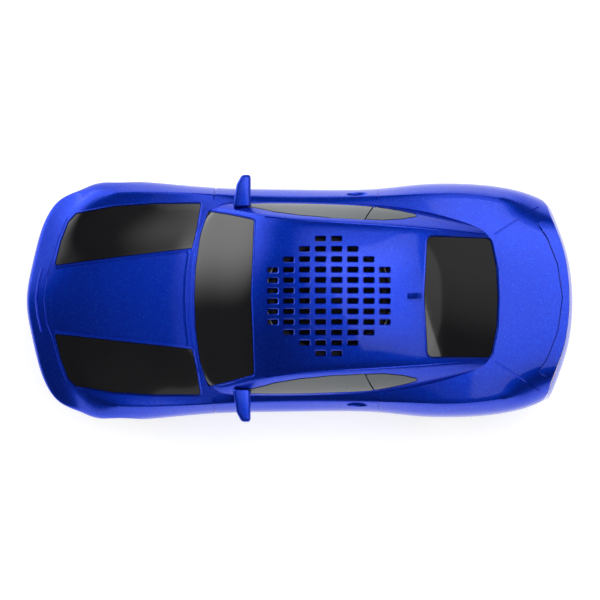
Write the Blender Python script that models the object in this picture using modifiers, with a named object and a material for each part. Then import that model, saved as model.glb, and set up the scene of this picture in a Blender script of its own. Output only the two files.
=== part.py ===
"""Portable loudspeaker in the shape of a toy coupe: body, wheels, driver and electronics.

Metres, +X to the car's nose, +Y to its left, +Z up, origin on the ground under the middle
of the body. Every dimension below is in millimetres and is multiplied by MM when used.
"""
import math

import bmesh
import bpy
from mathutils import Matrix, Vector

MM = 0.001

# ---- driving dimensions (mm) ----
GAP = 0.3                 # clearance between pieces that touch
WALL = 2.4                # roof moulding
LOWER_WALL = 3.6          # body moulding below the waist, to its coarse inside face
PANEL_DEPTH = 1.4         # recess that takes a glossy panel
PANEL_THICK = 1.1
SILL_Z = 7.0              # lowest edge of the body
WHEEL_R = 14.2
TYRE_WIDTH = 10.4
TYRE_OUTER_Y = 38.9
ARCH_R = 16.4
FRONT_AXLE_X = 61.0
REAR_AXLE_X = -52.0
AXLE_R = 1.5
AXLE_BORE_R = 1.55
DRIVER_X = -9.7           # loudspeaker centre
DRIVER_R = 24.0
FLANGE_Z = 47.0           # underside of the loudspeaker's flange
SLOT_X = 4.05             # grille slot length and width
SLOT_Y = 2.2
SLOT_PITCH_X = 5.42
SLOT_PITCH_Y = 3.53
SLOT_FIELD_R = 21.8
SLOT_ROW_COUNTS = (2, 4, 6, 8, 8, 8, 8, 8, 8, 6, 4, 2)
SWITCH_TRAVEL = 2.4
PAN_BOTTOM_Z = 6.0
PAN_TOP_Z = 8.0
BOARD_Z = 11.4

RING_Z = 49.6             # bearing ring under the roof
SPOILER_RISE = 1.1
MIRROR = [(16.9, 31.0), (16.9, 42.4), (20.0, 42.4), (21.8, 39.0), (23.1, 31.0)]
MIRROR_Z = (38.6, 43.4)
AERIAL_X = (-35.2, -41.0)
AERIAL_WIDTH = 1.9
POST_R = 2.8
SCREWS = {"front_left": (36.0, 27.0), "front_right": (36.0, -27.0), "rear_left": (-28.0, 27.0),
          "rear_right": (-28.0, -27.0)}
PAN_HALF = [(86.0, 0.0), (84.5, 14.0), (80.5, 22.5), (42.0, 22.5), (41.5, 32.6), (-32.5, 32.6),
            (-33.0, 22.5), (-71.5, 22.5), (-72.5, 28.5), (-82.0, 25.0), (-85.5, 14.0), (-86.0, 0.0)]
BEARING_Y = 18.0
LINER_R = 16.8
LINER_Y = (24.6, 32.4)    # inner wall to outer edge
LINER_BOTTOM_Z = 9.0
RIM_R = 10.2
SPOKES = 5
BUTTON_R = 3.0
BUTTONS = {"previous": -6.0, "play": 6.0, "next": 18.0}
JACK_X = -34.0
SWITCH_OPENING = (-20.0, 0.0, 5.6, 2.8)     # x, y, length, width
CHARGE_OPENING = (31.0, 0.0, 9.8, 4.0)
CARD_OPENING = (31.0, 11.0, 14.0, 3.4)
LEAD_R = 0.8

SUBDIVISIONS = 1
LOWER_FACES_KEPT = 0.3
ROOF_FACES_KEPT = 0.5

# ---- colours: (rgb, roughness, metallic) ----
FINISHES = {
    "paint_blue": ((0.004, 0.022, 0.42), 0.22, 0.75),
    "gloss_black": ((0.008, 0.009, 0.010), 0.08, 0.0),
    "window_grey": ((0.10, 0.13, 0.145), 0.12, 0.0),
    "matte_black": ((0.022, 0.022, 0.024), 0.55, 0.0),
    "clear_lamp": ((0.75, 0.78, 0.80), 0.10, 0.0),
    "red_lamp": ((0.42, 0.012, 0.010), 0.12, 0.0),
    "rim_silver": ((0.62, 0.63, 0.65), 0.25, 0.9),
    "tyre_rubber": ((0.018, 0.018, 0.019), 0.75, 0.0),
    "axle_steel": ((0.55, 0.55, 0.56), 0.28, 1.0),
    "basket_steel": ((0.33, 0.34, 0.35), 0.42, 0.85),
    "cone_paper": ((0.030, 0.030, 0.033), 0.80, 0.0),
    "surround_rubber": ((0.016, 0.016, 0.017), 0.60, 0.0),
    "magnet_ferrite": ((0.060, 0.062, 0.066), 0.50, 0.35),
    "board_green": ((0.012, 0.15, 0.055), 0.40, 0.0),
    "battery_wrap": ((0.38, 0.40, 0.42), 0.35, 0.0),
    "button_rubber": ((0.060, 0.062, 0.066), 0.55, 0.0),
    "lead_red": ((0.45, 0.015, 0.012), 0.45, 0.0),
}


def clear_scene():
    for obj in list(bpy.data.objects):
        bpy.data.objects.remove(obj, do_unlink=True)


def new_collection(name):
    collection = bpy.data.collections.new(name)
    bpy.context.scene.collection.children.link(collection)
    return collection


def make_material(name):
    colour, roughness, metallic = FINISHES[name]
    mat = bpy.data.materials.get(name)
    if mat:
        return mat
    mat = bpy.data.materials.new(name)
    mat.use_nodes = True
    shader = mat.node_tree.nodes["Principled BSDF"]
    shader.inputs["Base Color"].default_value = (*colour, 1.0)
    shader.inputs["Roughness"].default_value = roughness
    shader.inputs["Metallic"].default_value = metallic
    return mat


def add_mesh(name, bm, collection, finish=None):
    """Turn a bmesh in millimetres into an object in metres."""
    bmesh.ops.scale(bm, vec=(MM, MM, MM), verts=bm.verts)
    bmesh.ops.recalc_face_normals(bm, faces=bm.faces)
    mesh = bpy.data.meshes.new(name)
    bm.to_mesh(mesh)
    bm.free()
    obj = bpy.data.objects.new(name, mesh)
    collection.objects.link(obj)
    if finish:
        mesh.materials.append(make_material(finish))
    if collection is CUTTERS:
        obj.hide_render = True
        obj.display_type = "WIRE"
    return obj


def set_origin(obj, point):
    """Move the object's origin to a point (mm) and leave its mesh where it is."""
    shift = Vector(point) * MM
    obj.data.transform(Matrix.Translation(-shift))
    obj.location = shift


def boolean(obj, operation, tool, solver="EXACT"):
    mod = obj.modifiers.new(f"{operation.lower()}_{tool.name}"[:60], "BOOLEAN")
    mod.operation = operation
    mod.object = tool
    mod.solver = solver


def box_bmesh(lo, hi):
    bm = bmesh.new()
    bmesh.ops.create_cube(bm, size=1.0)
    size = [h - l for l, h in zip(lo, hi)]
    centre = [(h + l) / 2 for l, h in zip(lo, hi)]
    bmesh.ops.scale(bm, vec=size, verts=bm.verts)
    bmesh.ops.translate(bm, vec=centre, verts=bm.verts)
    return bm


def cylinder_bmesh(centre, radius, length, axis="Z", segments=24, top_radius=None):
    """Cylinder or cone about an axis, centred on a point."""
    bm = bmesh.new()
    bmesh.ops.create_cone(bm, cap_ends=True, segments=segments, radius1=radius,
                          radius2=radius if top_radius is None else top_radius, depth=length)
    turn = {"Z": Matrix.Identity(3),
            "Y": Matrix.Rotation(-math.pi / 2, 3, "X"),
            "X": Matrix.Rotation(math.pi / 2, 3, "Y")}[axis]
    bmesh.ops.rotate(bm, cent=(0, 0, 0), matrix=turn, verts=bm.verts)
    bmesh.ops.translate(bm, vec=centre, verts=bm.verts)
    return bm


def rounded_outline(points, radius, steps=3):
    """Round each corner of a closed outline with a short arc."""
    rounded = []
    count = len(points)
    for i, corner in enumerate(points):
        p = Vector(corner)
        before = Vector(points[i - 1]) - p
        after = Vector(points[(i + 1) % count]) - p
        turn = before.angle(after)
        reach = radius / math.tan(turn / 2)
        limit = 0.45 * min(before.length, after.length)
        cut = min(reach, limit)
        if turn > math.radians(165):
            rounded.append(tuple(p))
            continue
        start = p + before.normalized() * cut
        end = p + after.normalized() * cut
        for k in range(steps + 1):
            t = k / steps
            bend = start * (1 - t) ** 2 + p * 2 * t * (1 - t) + end * t ** 2
            rounded.append(tuple(bend))
    return rounded


def grown_outline(points, amount):
    """Offset a closed outline outwards (positive) or inwards."""
    count = len(points)
    area = sum(points[i - 1][0] * points[i][1] - points[i][0] * points[i - 1][1] for i in range(count))
    side = 1.0 if area > 0 else -1.0
    grown = []
    for i in range(count):
        p = Vector(points[i])
        incoming = (p - Vector(points[i - 1])).normalized()
        outgoing = (Vector(points[(i + 1) % count]) - p).normalized()
        n1 = Vector((incoming.y, -incoming.x)) * side
        n2 = Vector((outgoing.y, -outgoing.x)) * side
        mitre = (n1 + n2).normalized()
        grown.append(tuple(p + mitre * amount / max(mitre.dot(n1), 0.5)))
    return grown


def prism_bmesh(outline, axis, lo, hi):
    """Extrude a closed 2-D outline along an axis, from lo to hi."""
    place = {"Z": lambda u, v, w: (u, v, w),
             "Y": lambda u, v, w: (u, w, v),
             "X": lambda u, v, w: (w, u, v)}[axis]
    bm = bmesh.new()
    base = bm.faces.new([bm.verts.new(place(u, v, lo)) for u, v in outline])
    moved = bmesh.ops.extrude_face_region(bm, geom=[base])["geom"]
    travel = Vector(place(0, 0, hi)) - Vector(place(0, 0, lo))
    bmesh.ops.translate(bm, vec=travel, verts=[v for v in moved if isinstance(v, bmesh.types.BMVert)])
    return bm


def mirrored(outline):
    return [(u, -v) for u, v in outline]


def turned(name, profile, centre, collection, finish, steps=32, closed=True, axis="Z"):
    """A turned piece: (radius, height) points, running down the outer side."""
    mesh = bpy.data.meshes.new(name)
    points = [(r * MM, 0.0, z * MM) for r, z in profile]
    edges = [(i, i + 1) for i in range(len(points) - 1)]
    if closed:
        edges.append((len(points) - 1, 0))
    mesh.from_pydata(points, edges, [])
    obj = bpy.data.objects.new(name, mesh)
    collection.objects.link(obj)
    obj.location = Vector(centre) * MM
    if axis == "Y":
        obj.rotation_euler = (-math.pi / 2, 0.0, 0.0)
    if axis == "-Y":
        obj.rotation_euler = (math.pi / 2, 0.0, 0.0)
    screw = obj.modifiers.new("turn", "SCREW")
    screw.axis = "Z"
    screw.angle = math.tau
    screw.steps = steps
    screw.render_steps = steps
    screw.use_merge_vertices = True
    screw.merge_threshold = 0.00001
    screw.use_smooth_shade = True
    if finish:
        mesh.materials.append(make_material(finish))
    if collection is CUTTERS:
        obj.hide_render = True
        obj.display_type = "WIRE"
    return obj


# ---- body surface: two coarse cages ----
# Each station of the lower body is a line from the centre (y = 0) out to the widest point.
# (x at the centre, how far it is bowed back at the edge, [y], [z]) for the columns
# centre, dome edge, mid, panel edge, crown or crease, widest.
LOWER_STATIONS = [
    (94.9, [0.0, 2.3, 3.9, 5.6, 8.2, 11.8], [0, 11.0, 18.0, 24.6, 30.6, 35.8],
     [29.6, 29.4, 29.0, 28.5, 28.0, 27.4]),
    (90.0, [0.0, 2.6, 4.6, 7.0, 10.4, 14.2], [0, 11.6, 18.5, 25.0, 31.4, 38.6],
     [31.9, 31.5, 31.0, 30.5, 30.1, 28.9]),
    (82.0, [0.0, 0.8, 2.4, 4.6, 7.2, 9.5], [0, 12.4, 20.0, 29.0, 34.4, 40.4],
     [34.2, 33.4, 32.7, 32.3, 32.6, 29.9]),
    (70.0, [0.0, 0.2, 0.8, 1.6, 2.2, 2.6], [0, 13.9, 22.6, 32.4, 36.8, 41.5],
     [36.6, 35.4, 34.4, 34.4, 35.2, 30.4]),
    (56.0, [0.0, 0.1, 0.4, 0.8, 1.0, 1.0], [0, 15.3, 23.6, 33.6, 37.2, 41.5],
     [38.2, 37.0, 36.0, 36.0, 36.6, 31.0]),
    (44.0, [0.0, 0.2, 0.6, 1.4, 1.4, 1.4], [0, 16.7, 24.2, 33.9, 36.8, 40.2],
     [39.2, 38.0, 37.0, 36.9, 37.1, 31.6]),
    (37.6, [0.0, 0.5, 1.6, 4.2, 4.6, 4.6], [0, 17.6, 24.6, 33.8, 36.4, 39.4],
     [39.6, 38.6, 37.8, 37.5, 37.3, 31.9]),
    (24.0, [0.0] * 6, [0, 17.0, 25.0, 33.2, 35.7, 38.8],
     [39.4, 39.0, 38.6, 38.2, 37.0, 31.8]),
    (4.0, [0.0] * 6, [0, 17.0, 25.0, 33.0, 35.3, 38.6],
     [39.4, 39.2, 39.0, 38.6, 37.0, 31.4]),
    (-14.0, [0.0] * 6, [0, 17.0, 25.0, 33.0, 35.3, 38.3],
     [39.6, 39.4, 39.2, 38.9, 37.3, 31.6]),
    (-28.0, [0.0] * 6, [0, 16.0, 24.0, 32.2, 35.4, 38.6],
     [40.4, 40.2, 40.1, 40.0, 39.0, 32.6]),
    (-41.0, [0.0] * 6, [0, 14.0, 21.0, 29.0, 36.0, 40.5],
     [41.6, 41.6, 41.8, 42.0, 40.9, 34.0]),
    (-54.0, [0.0] * 6, [0, 12.5, 19.5, 27.6, 36.5, 40.7],
     [42.8, 42.8, 42.9, 43.0, 41.6, 34.8]),
    (-66.0, [0.0] * 6, [0, 11.5, 18.5, 25.5, 35.2, 40.0],
     [43.6, 43.6, 43.5, 43.2, 41.5, 35.0]),
    (-76.0, [0.0] * 6, [0, 11.0, 17.8, 25.2, 33.4, 38.2],
     [43.9, 43.9, 43.7, 43.1, 40.9, 34.6]),
    (-84.5, [0.0, -0.3, -1.2, -2.6, -3.8, -2.6], [0, 10.8, 17.6, 24.4, 31.6, 36.0],
     [44.3, 44.2, 43.9, 43.2, 40.0, 33.8]),
    (-92.6, [0.0, -1.0, -2.9, -5.4, -7.2, -7.2], [0, 11.6, 19.0, 25.6, 30.6, 34.2],
     [44.6, 44.4, 43.9, 42.8, 39.2, 33.2]),
]
# Rows of the wall below the edge: (how far it stands out, height) at the nose, flank and tail.
NOSE_ROWS = [(1.3, 27.2), (-0.3, 21.5), (0.5, 14.0), (-1.6, SILL_Z)]
FLANK_ROWS = [(0.2, 27.0), (-0.5, 20.0), (-0.6, 12.0), (-2.6, SILL_Z)]
TAIL_ROWS = [(-0.4, 33.5), (3.1, 27.0), (2.8, 15.0), (-0.4, SILL_Z)]
NOSE_CREASE = 0.75
SHOULDER_CREASE = 0.65
TAIL_CREASE = 0.85
HALF_LENGTH = 95.0
HALF_WIDTH = 41.2


def blend_rows(first, second, t):
    return [(a[0] * (1 - t) + b[0] * t, a[1] * (1 - t) + b[1] * t) for a, b in zip(first, second)]


def lower_cage(name, collection, inset=0.0, levels=SUBDIVISIONS):
    """The body below the waist, as a closed cage on the +Y side, mirrored and subdivided."""
    bm = bmesh.new()
    shrink = Vector((1 - inset / HALF_LENGTH, 1 - inset / HALF_WIDTH))

    def vert(x, y, z, drop):
        return bm.verts.new((x * shrink.x, y * shrink.y, z - drop))

    top = []
    for x, bows, ys, zs in LOWER_STATIONS:
        top.append([vert(x - bow, y, z, inset) for bow, y, z in zip(bows, ys, zs)])
    last = len(top) - 1
    columns = len(top[0])
    rim = top[0] + [row[-1] for row in top[1:-1]] + top[-1][::-1]
    nose_count = columns
    tail_start = len(rim) - columns
    walls = [rim]
    rows_here = []
    for i in range(len(rim)):
        if i < nose_count:
            rows_here.append(blend_rows(NOSE_ROWS, FLANK_ROWS, max(0, i - nose_count + 2) * 0.5))
        elif i >= tail_start:
            rows_here.append(blend_rows(TAIL_ROWS, FLANK_ROWS, max(0, tail_start + 1 - i) * 0.5))
        else:
            rows_here.append(FLANK_ROWS)
    for k in range(len(FLANK_ROWS)):
        ring = []
        for i, v in enumerate(rim):
            here = v.co
            before = rim[max(i - 1, 0)].co
            after = rim[min(i + 1, len(rim) - 1)].co
            along = Vector((after.x - before.x, after.y - before.y))
            if i in (0, len(rim) - 1):
                along = Vector((0.0, -1.0 if i else 1.0))
            outward = Vector((along.y, -along.x)).normalized()
            out, z = rows_here[i][k]
            floor = z if k < len(FLANK_ROWS) - 1 or not inset else z - 4.0
            y = 0.0 if i in (0, len(rim) - 1) else here.y + outward.y * out
            ring.append(bm.verts.new((here.x + outward.x * out, y, floor)))
        walls.append(ring)
    # the closed underside repeats the top's grid
    base = walls[-1]
    bottom = []
    for r in range(len(top)):
        if r == 0:
            bottom.append(base[:columns])
        elif r == last:
            bottom.append(base[tail_start:][::-1])
        else:
            edge = base[nose_count + r - 1]
            scale = edge.co.y / top[r][-1].co.y
            inner = [bm.verts.new((v.co.x, v.co.y * scale, edge.co.z)) for v in top[r][:-1]]
            bottom.append(inner + [edge])
    for grid in (top, bottom):
        for r in range(last):
            for c in range(columns - 1):
                bm.faces.new((grid[r][c], grid[r + 1][c], grid[r + 1][c + 1], grid[r][c + 1]))
    for upper, lower in zip(walls, walls[1:]):
        for i in range(len(rim) - 1):
            bm.faces.new((upper[i], upper[i + 1], lower[i + 1], lower[i]))
    crease = bm.edges.layers.float.new("crease_edge")

    def crease_path(path, value):
        for a, b in zip(path, path[1:]):
            bm.edges.get((a, b))[crease] = value

    crease_path(top[0], NOSE_CREASE)
    crease_path([row[-2] for row in top[3:-2]], SHOULDER_CREASE)
    crease_path(top[-1], TAIL_CREASE)
    crease_path(base, 1.0)
    return finish_cage(name, bm, collection, levels)


def finish_cage(name, bm, collection, levels):
    obj = add_mesh(name, bm, collection)
    mirror = obj.modifiers.new("mirror", "MIRROR")
    mirror.use_axis = (False, True, False)
    mirror.use_clip = True
    mirror.merge_threshold = 0.0001
    subdivide = obj.modifiers.new("subdivide", "SUBSURF")
    subdivide.levels = levels
    subdivide.render_levels = levels
    return obj


# Stations of the roof: (x, y, z) at the centre, halfway and at the rail, then the flank rows.
ROOF_STATIONS = [
    [(39.4, 0.0, 36.6), (38.2, 15.0, 36.4), (32.6, 31.6, 35.9)],
    [(27.5, 0.0, 45.2), (26.6, 14.6, 44.7), (24.4, 30.2, 42.2)],
    [(16.4, 0.0, 52.6), (15.9, 13.8, 52.0), (14.4, 27.8, 49.4)],
    [(4.0, 0.0, 56.3), (4.0, 13.4, 55.6), (3.0, 26.2, 52.4)],
    [(-10.0, 0.0, 57.3), (-10.0, 13.2, 56.6), (-10.0, 25.4, 53.2)],
    [(-27.0, 0.0, 56.4), (-27.0, 13.0, 55.7), (-27.0, 24.4, 52.6)],
    [(-42.0, 0.0, 53.6), (-42.2, 12.4, 53.1), (-42.8, 23.4, 50.9)],
    [(-55.0, 0.0, 49.0), (-55.0, 11.8, 48.7), (-55.0, 22.3, 47.2)],
    [(-71.5, 0.0, 42.0), (-71.0, 11.2, 41.9), (-69.4, 21.4, 41.4)],
]
GLASS_ROWS = [
    [(32.0, 32.6, 35.4), (26.0, 31.9, 40.4), (14.4, 31.0, 44.6), (2.0, 29.8, 46.4), (-11.0, 29.4, 46.8),
     (-28.0, 28.8, 46.8), (-44.0, 27.0, 46.6), (-57.0, 24.4, 44.9), (-70.4, 21.8, 41.0)],
    [(32.0, 33.4, 35.0), (25.0, 33.5, 38.2), (13.0, 33.6, 39.2), (0.0, 33.5, 39.4), (-13.0, 33.2, 39.6),
     (-29.0, 32.6, 40.4), (-46.0, 30.2, 41.6), (-59.0, 26.0, 42.6), (-71.0, 22.2, 40.4)],
    [(32.0, 33.8, 33.0), (24.0, 34.2, 34.0), (12.0, 34.4, 34.0), (0.0, 34.3, 34.0), (-13.0, 34.0, 34.0),
     (-29.0, 33.4, 34.0), (-47.0, 31.2, 34.0), (-60.0, 27.2, 34.0), (-71.2, 22.8, 34.0)],
]
RAIL_CREASE = 0.45


def roof_cage(name, collection, inset=0.0, levels=SUBDIVISIONS):
    """Windscreen, roof, rear window and pillars as one closed cage that ends inside the body."""
    bm = bmesh.new()
    middle_x = -16.0

    def vert(point, drop=1.0):
        x, y, z = point
        return bm.verts.new((middle_x + (x - middle_x) * (1 - inset / 55.0), y * (1 - inset / 30.0),
                             z - inset * drop))

    top = [[vert(p) for p in row] for row in ROOF_STATIONS]
    last = len(top) - 1
    rim = top[0] + [row[-1] for row in top[1:-1]] + top[-1][::-1]
    walls = [rim]
    for k, row in enumerate(GLASS_ROWS):
        front = [(p[0] + 0.4, p[1], row[0][2]) for p in ROOF_STATIONS[0][:-1]]
        back = [(p[0] - 0.3, p[1], row[-1][2]) for p in ROOF_STATIONS[-1][:-1]]
        points = front + row + back[::-1]
        drop = 1.0 if k < 2 else 2.0
        walls.append([vert(p, drop) for p in points])
    base = walls[-1]
    columns = len(top[0])
    bottom = [base[:columns]]
    for r in range(1, last):
        edge = base[columns + r - 1]
        scale = edge.co.y / top[r][-1].co.y
        bottom.append([bm.verts.new((v.co.x, v.co.y * scale, edge.co.z)) for v in top[r][:-1]] + [edge])
    bottom.append(base[len(base) - columns:][::-1])
    for grid in (top, bottom):
        for r in range(last):
            for c in range(columns - 1):
                bm.faces.new((grid[r][c], grid[r + 1][c], grid[r + 1][c + 1], grid[r][c + 1]))
    for upper, lower in zip(walls, walls[1:]):
        for i in range(len(rim) - 1):
            bm.faces.new((upper[i], upper[i + 1], lower[i + 1], lower[i]))
    crease = bm.edges.layers.float.new("crease_edge")
    rail = [row[-1] for row in top]
    for a, b in zip(rail, rail[1:]):
        bm.edges.get((a, b))[crease] = RAIL_CREASE
    return finish_cage(name, bm, collection, levels)


# ---- outlines of the glossy panels, left side where there are two (mm) ----
BONNET_PANEL = [(84.8, 11.8), (82.7, 20.4), (80.2, 27.0), (77.4, 29.9), (63.9, 32.2), (50.1, 33.0),
                (32.8 + 1.2, 33.0), (35.6, 23.5), (37.0, 17.3), (56.7, 15.1)]
WINDSCREEN = [(36.3, 0.0), (35.9, 10.5), (34.4, 21.7), (31.6, 30.2), (24.0, 28.6), (15.6, 26.4),
              (16.1, 12.0), (16.6, 0.0)]
REAR_WINDOW = [(-42.0, 0.0), (-43.2, 20.6), (-65.2, 20.4), (-67.3, 10.0), (-67.7, 0.0)]
DOOR_WINDOW = [(21.6, 40.5), (17.5, 42.9), (8.6, 47.3), (0.0, 49.5), (-10.0, 50.6), (-21.6, 50.5),
               (-25.0, 41.2), (0.0, 40.4)]
QUARTER_WINDOW = [(-22.8, 50.4), (-28.5, 49.9), (-35.0, 48.2), (-40.2, 45.8), (-39.6, 44.6), (-26.2, 41.6)]
SPOILER = [(-89.6, 0.0), (-88.0, 11.4), (-84.5, 20.6), (-81.3, 25.6), (-84.0, 28.0), (-97.0, 30.0),
           (-97.0, 0.0)]
HEADLAMP = [(20.0, 27.0), (31.5, 26.2), (34.4, 22.4), (20.6, 21.2)]
TAIL_LAMP = [(12.0, 39.0), (30.0, 37.0), (31.2, 31.6), (12.0, 32.0)]
UPPER_GRILLE = [(18.6, 26.9), (18.2, 20.6), (-18.2, 20.6), (-18.6, 26.9)]
LOWER_GRILLE = [(24.0, 17.0), (20.0, 10.2), (-20.0, 10.2), (-24.0, 17.0)]
DIFFUSER = [(20.0, 14.6), (17.0, 8.4), (-17.0, 8.4), (-20.0, 14.6)]


def symmetric(half):
    """Close a left-hand half outline that starts and ends on the centre line."""
    return half + [(u, -v) for u, v in half[::-1] if v > 0]


def fitted_panel(name, finish, shell, outline, axis, span, outer, backing, floor):
    """A recess in the shell and the panel that fills it: an outline cut from the body's skin."""
    cutter = add_mesh(f"{name}_recess", prism_bmesh(outline, axis, *span), CUTTERS)
    boolean(cutter, "DIFFERENCE", floor)
    boolean(shell, "DIFFERENCE", cutter)
    inner_span = (span[0] + GAP, span[1] - GAP)
    panel = add_mesh(name, prism_bmesh(grown_outline(outline, -GAP), axis, *inner_span), PARTS, finish)
    boolean(panel, "DIFFERENCE", backing)
    boolean(panel, "INTERSECT", outer)
    return panel


def slot_grid():
    """Centres of the grille slots, row by row."""
    rows = len(SLOT_ROW_COUNTS)
    for r, count in enumerate(SLOT_ROW_COUNTS):
        y = (r - (rows - 1) / 2) * SLOT_PITCH_Y
        for c in range(count):
            yield DRIVER_X + (c - (count - 1) / 2) * SLOT_PITCH_X, y


def joined_boxes(name, boxes):
    """One cutter from many separate boxes."""
    bm = bmesh.new()
    for lo, hi in boxes:
        part = box_bmesh(lo, hi)
        mesh = bpy.data.meshes.new("box")
        part.to_mesh(mesh)
        part.free()
        bm.from_mesh(mesh)
        bpy.data.meshes.remove(mesh)
    return add_mesh(name, bm, CUTTERS)


def add_driver_ring(shell):
    """Ring under the roof that the loudspeaker bears on."""
    ring = turned("roof_ring", [(DRIVER_R, 56.0), (DRIVER_R, RING_Z), (SLOT_FIELD_R + 0.4, RING_Z),
                                (SLOT_FIELD_R + 0.4, 56.0)], (DRIVER_X, 0, 0), CUTTERS, None, 32)
    boolean(ring, "INTERSECT", roof_cage("ring_limit", CUTTERS, 1.0))
    boolean(shell, "UNION", ring)


def thin_out(cage, kept):
    """Fewer faces where the surface is nearly flat."""
    mod = cage.modifiers.new("thin_out", "DECIMATE")
    mod.decimate_type = "COLLAPSE"
    mod.ratio = kept
    mod.use_symmetry = True
    mod.symmetry_axis = "Y"


def build_body():
    """The painted moulding and every panel set into it."""
    shell = lower_cage("body_shell", PARTS)
    shell.data.materials.append(make_material("paint_blue"))
    thin_out(shell, LOWER_FACES_KEPT)
    shell_roof = roof_cage("shell_roof", CUTTERS)
    thin_out(shell_roof, ROOF_FACES_KEPT)
    boolean(shell, "UNION", shell_roof)
    for name, inset in (("floor", PANEL_DEPTH), ("back", PANEL_THICK)):
        lower_cage(f"lower_{name}", CUTTERS, inset)
        roof_cage(f"roof_{name}", CUTTERS, inset)
    lower_outer = lower_cage("lower_outer", CUTTERS)
    roof = roof_cage("roof_outer", CUTTERS)
    boolean(shell, "DIFFERENCE", lower_cage("lower_cavity", CUTTERS, LOWER_WALL, 0))
    boolean(shell, "DIFFERENCE", roof_cage("roof_cavity", CUTTERS, WALL))
    add_driver_ring(shell)

    for x in (FRONT_AXLE_X, REAR_AXLE_X):
        for side in (1, -1):
            arch = cylinder_bmesh((x, side * 40.0, WHEEL_R), ARCH_R, 26.0, "Y", 40)
            label = f"arch_{'front' if x > 0 else 'rear'}_{'left' if side > 0 else 'right'}"
            boolean(shell, "DIFFERENCE", add_mesh(label, arch, CUTTERS))
    slots = [((x - SLOT_X / 2, y - SLOT_Y / 2, 46.0), (x + SLOT_X / 2, y + SLOT_Y / 2, 60.0))
             for x, y in slot_grid()]
    boolean(shell, "DIFFERENCE", joined_boxes("grille_slots", slots))

    def cage(label):
        return bpy.data.objects[label]

    lower = (lower_outer, cage("lower_back"), cage("lower_floor"))
    upper = (roof, cage("roof_back"), cage("roof_floor"))
    fitted_panel("windscreen_panel", "gloss_black", shell, symmetric(WINDSCREEN), "Z", (30, 66), *upper)
    fitted_panel("rear_window_panel", "gloss_black", shell, symmetric(REAR_WINDOW), "Z", (30, 66), *upper)
    fitted_panel("upper_grille", "matte_black", shell, UPPER_GRILLE, "X", (80, 99), *lower)
    fitted_panel("lower_grille", "matte_black", shell, LOWER_GRILLE, "X", (80, 99), *lower)
    fitted_panel("rear_diffuser", "matte_black", shell, DIFFUSER, "X", (-99, -80), *lower)
    for side, label in ((1, "left"), (-1, "right")):
        def hand(outline):
            return outline if side > 0 else mirrored(outline)

        def swap(outline):
            return [(side * u, v) for u, v in outline]

        flank = (23.0, 45) if side > 0 else (-45, -23.0)
        fitted_panel(f"bonnet_panel_{label}", "gloss_black", shell, hand(BONNET_PANEL), "Z", (20, 50), *lower)
        fitted_panel(f"door_window_{label}", "window_grey", shell, DOOR_WINDOW, "Y", flank, *upper)
        fitted_panel(f"quarter_window_{label}", "window_grey", shell, QUARTER_WINDOW, "Y", flank, *upper)
        fitted_panel(f"headlamp_{label}", "clear_lamp", shell, swap(HEADLAMP), "X", (70, 99), *lower)
        fitted_panel(f"tail_lamp_{label}", "red_lamp", shell, swap(TAIL_LAMP), "X", (-99, -78), *lower)
    return shell


def add_spoiler(shell):
    """Lip along the boot's trailing edge, let into the deck and standing above it."""
    raised = lower_cage("spoiler_surface", CUTTERS, -SPOILER_RISE)
    fitted_panel("boot_lip_spoiler", "paint_blue", shell, symmetric(SPOILER), "Z", (41.8, 60), raised,
                 bpy.data.objects["lower_back"], bpy.data.objects["lower_floor"])


def add_posts(shell):
    """Screw posts under the waist."""
    for label, (x, y) in SCREWS.items():
        top_z = 36.0 if x > 0 else 38.5
        foot_z = PAN_TOP_Z + GAP
        post = cylinder_bmesh((x, y, (foot_z + top_z) / 2), POST_R, top_z - foot_z, segments=12)
        boolean(shell, "UNION", add_mesh(f"post_{label}", post, CUTTERS))
        hole = cylinder_bmesh((x, y, PAN_TOP_Z + 6.0), 1.4, 13.0, segments=12)
        boolean(shell, "DIFFERENCE", add_mesh(f"post_hole_{label}", hole, CUTTERS))


def add_mirrors():
    """Door mirrors, their roots shaped to the door and the glass beside them."""
    near = (lower_cage("mirror_clear_low", CUTTERS, -GAP), roof_cage("mirror_clear_high", CUTTERS, -GAP))
    for side, label in ((1, "left"), (-1, "right")):
        outline = MIRROR if side > 0 else mirrored(MIRROR)
        mirror = add_mesh(f"mirror_{label}", prism_bmesh(outline, "Z", *MIRROR_Z), PARTS, "paint_blue")
        bevel = mirror.modifiers.new("round", "BEVEL")
        bevel.width = 0.9 * MM
        bevel.segments = 2
        for cage in near:
            boolean(mirror, "DIFFERENCE", cage)


def add_aerial():
    """Small fin on the roof behind the grille."""
    x0, x1 = AERIAL_X
    outline = [(x0, 53.0), (x0 - 2.2, 56.0), (x1 + 0.8, 57.0), (x1, 56.4), (x1 - 0.3, 53.0)]
    half = AERIAL_WIDTH / 2
    fin = add_mesh("roof_aerial", prism_bmesh(outline, "Y", -half, half), PARTS, "paint_blue")
    bevel = fin.modifiers.new("round", "BEVEL")
    bevel.width = 0.3 * MM
    bevel.segments = 1
    boolean(fin, "DIFFERENCE", roof_cage("aerial_clear", CUTTERS, -GAP))


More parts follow.
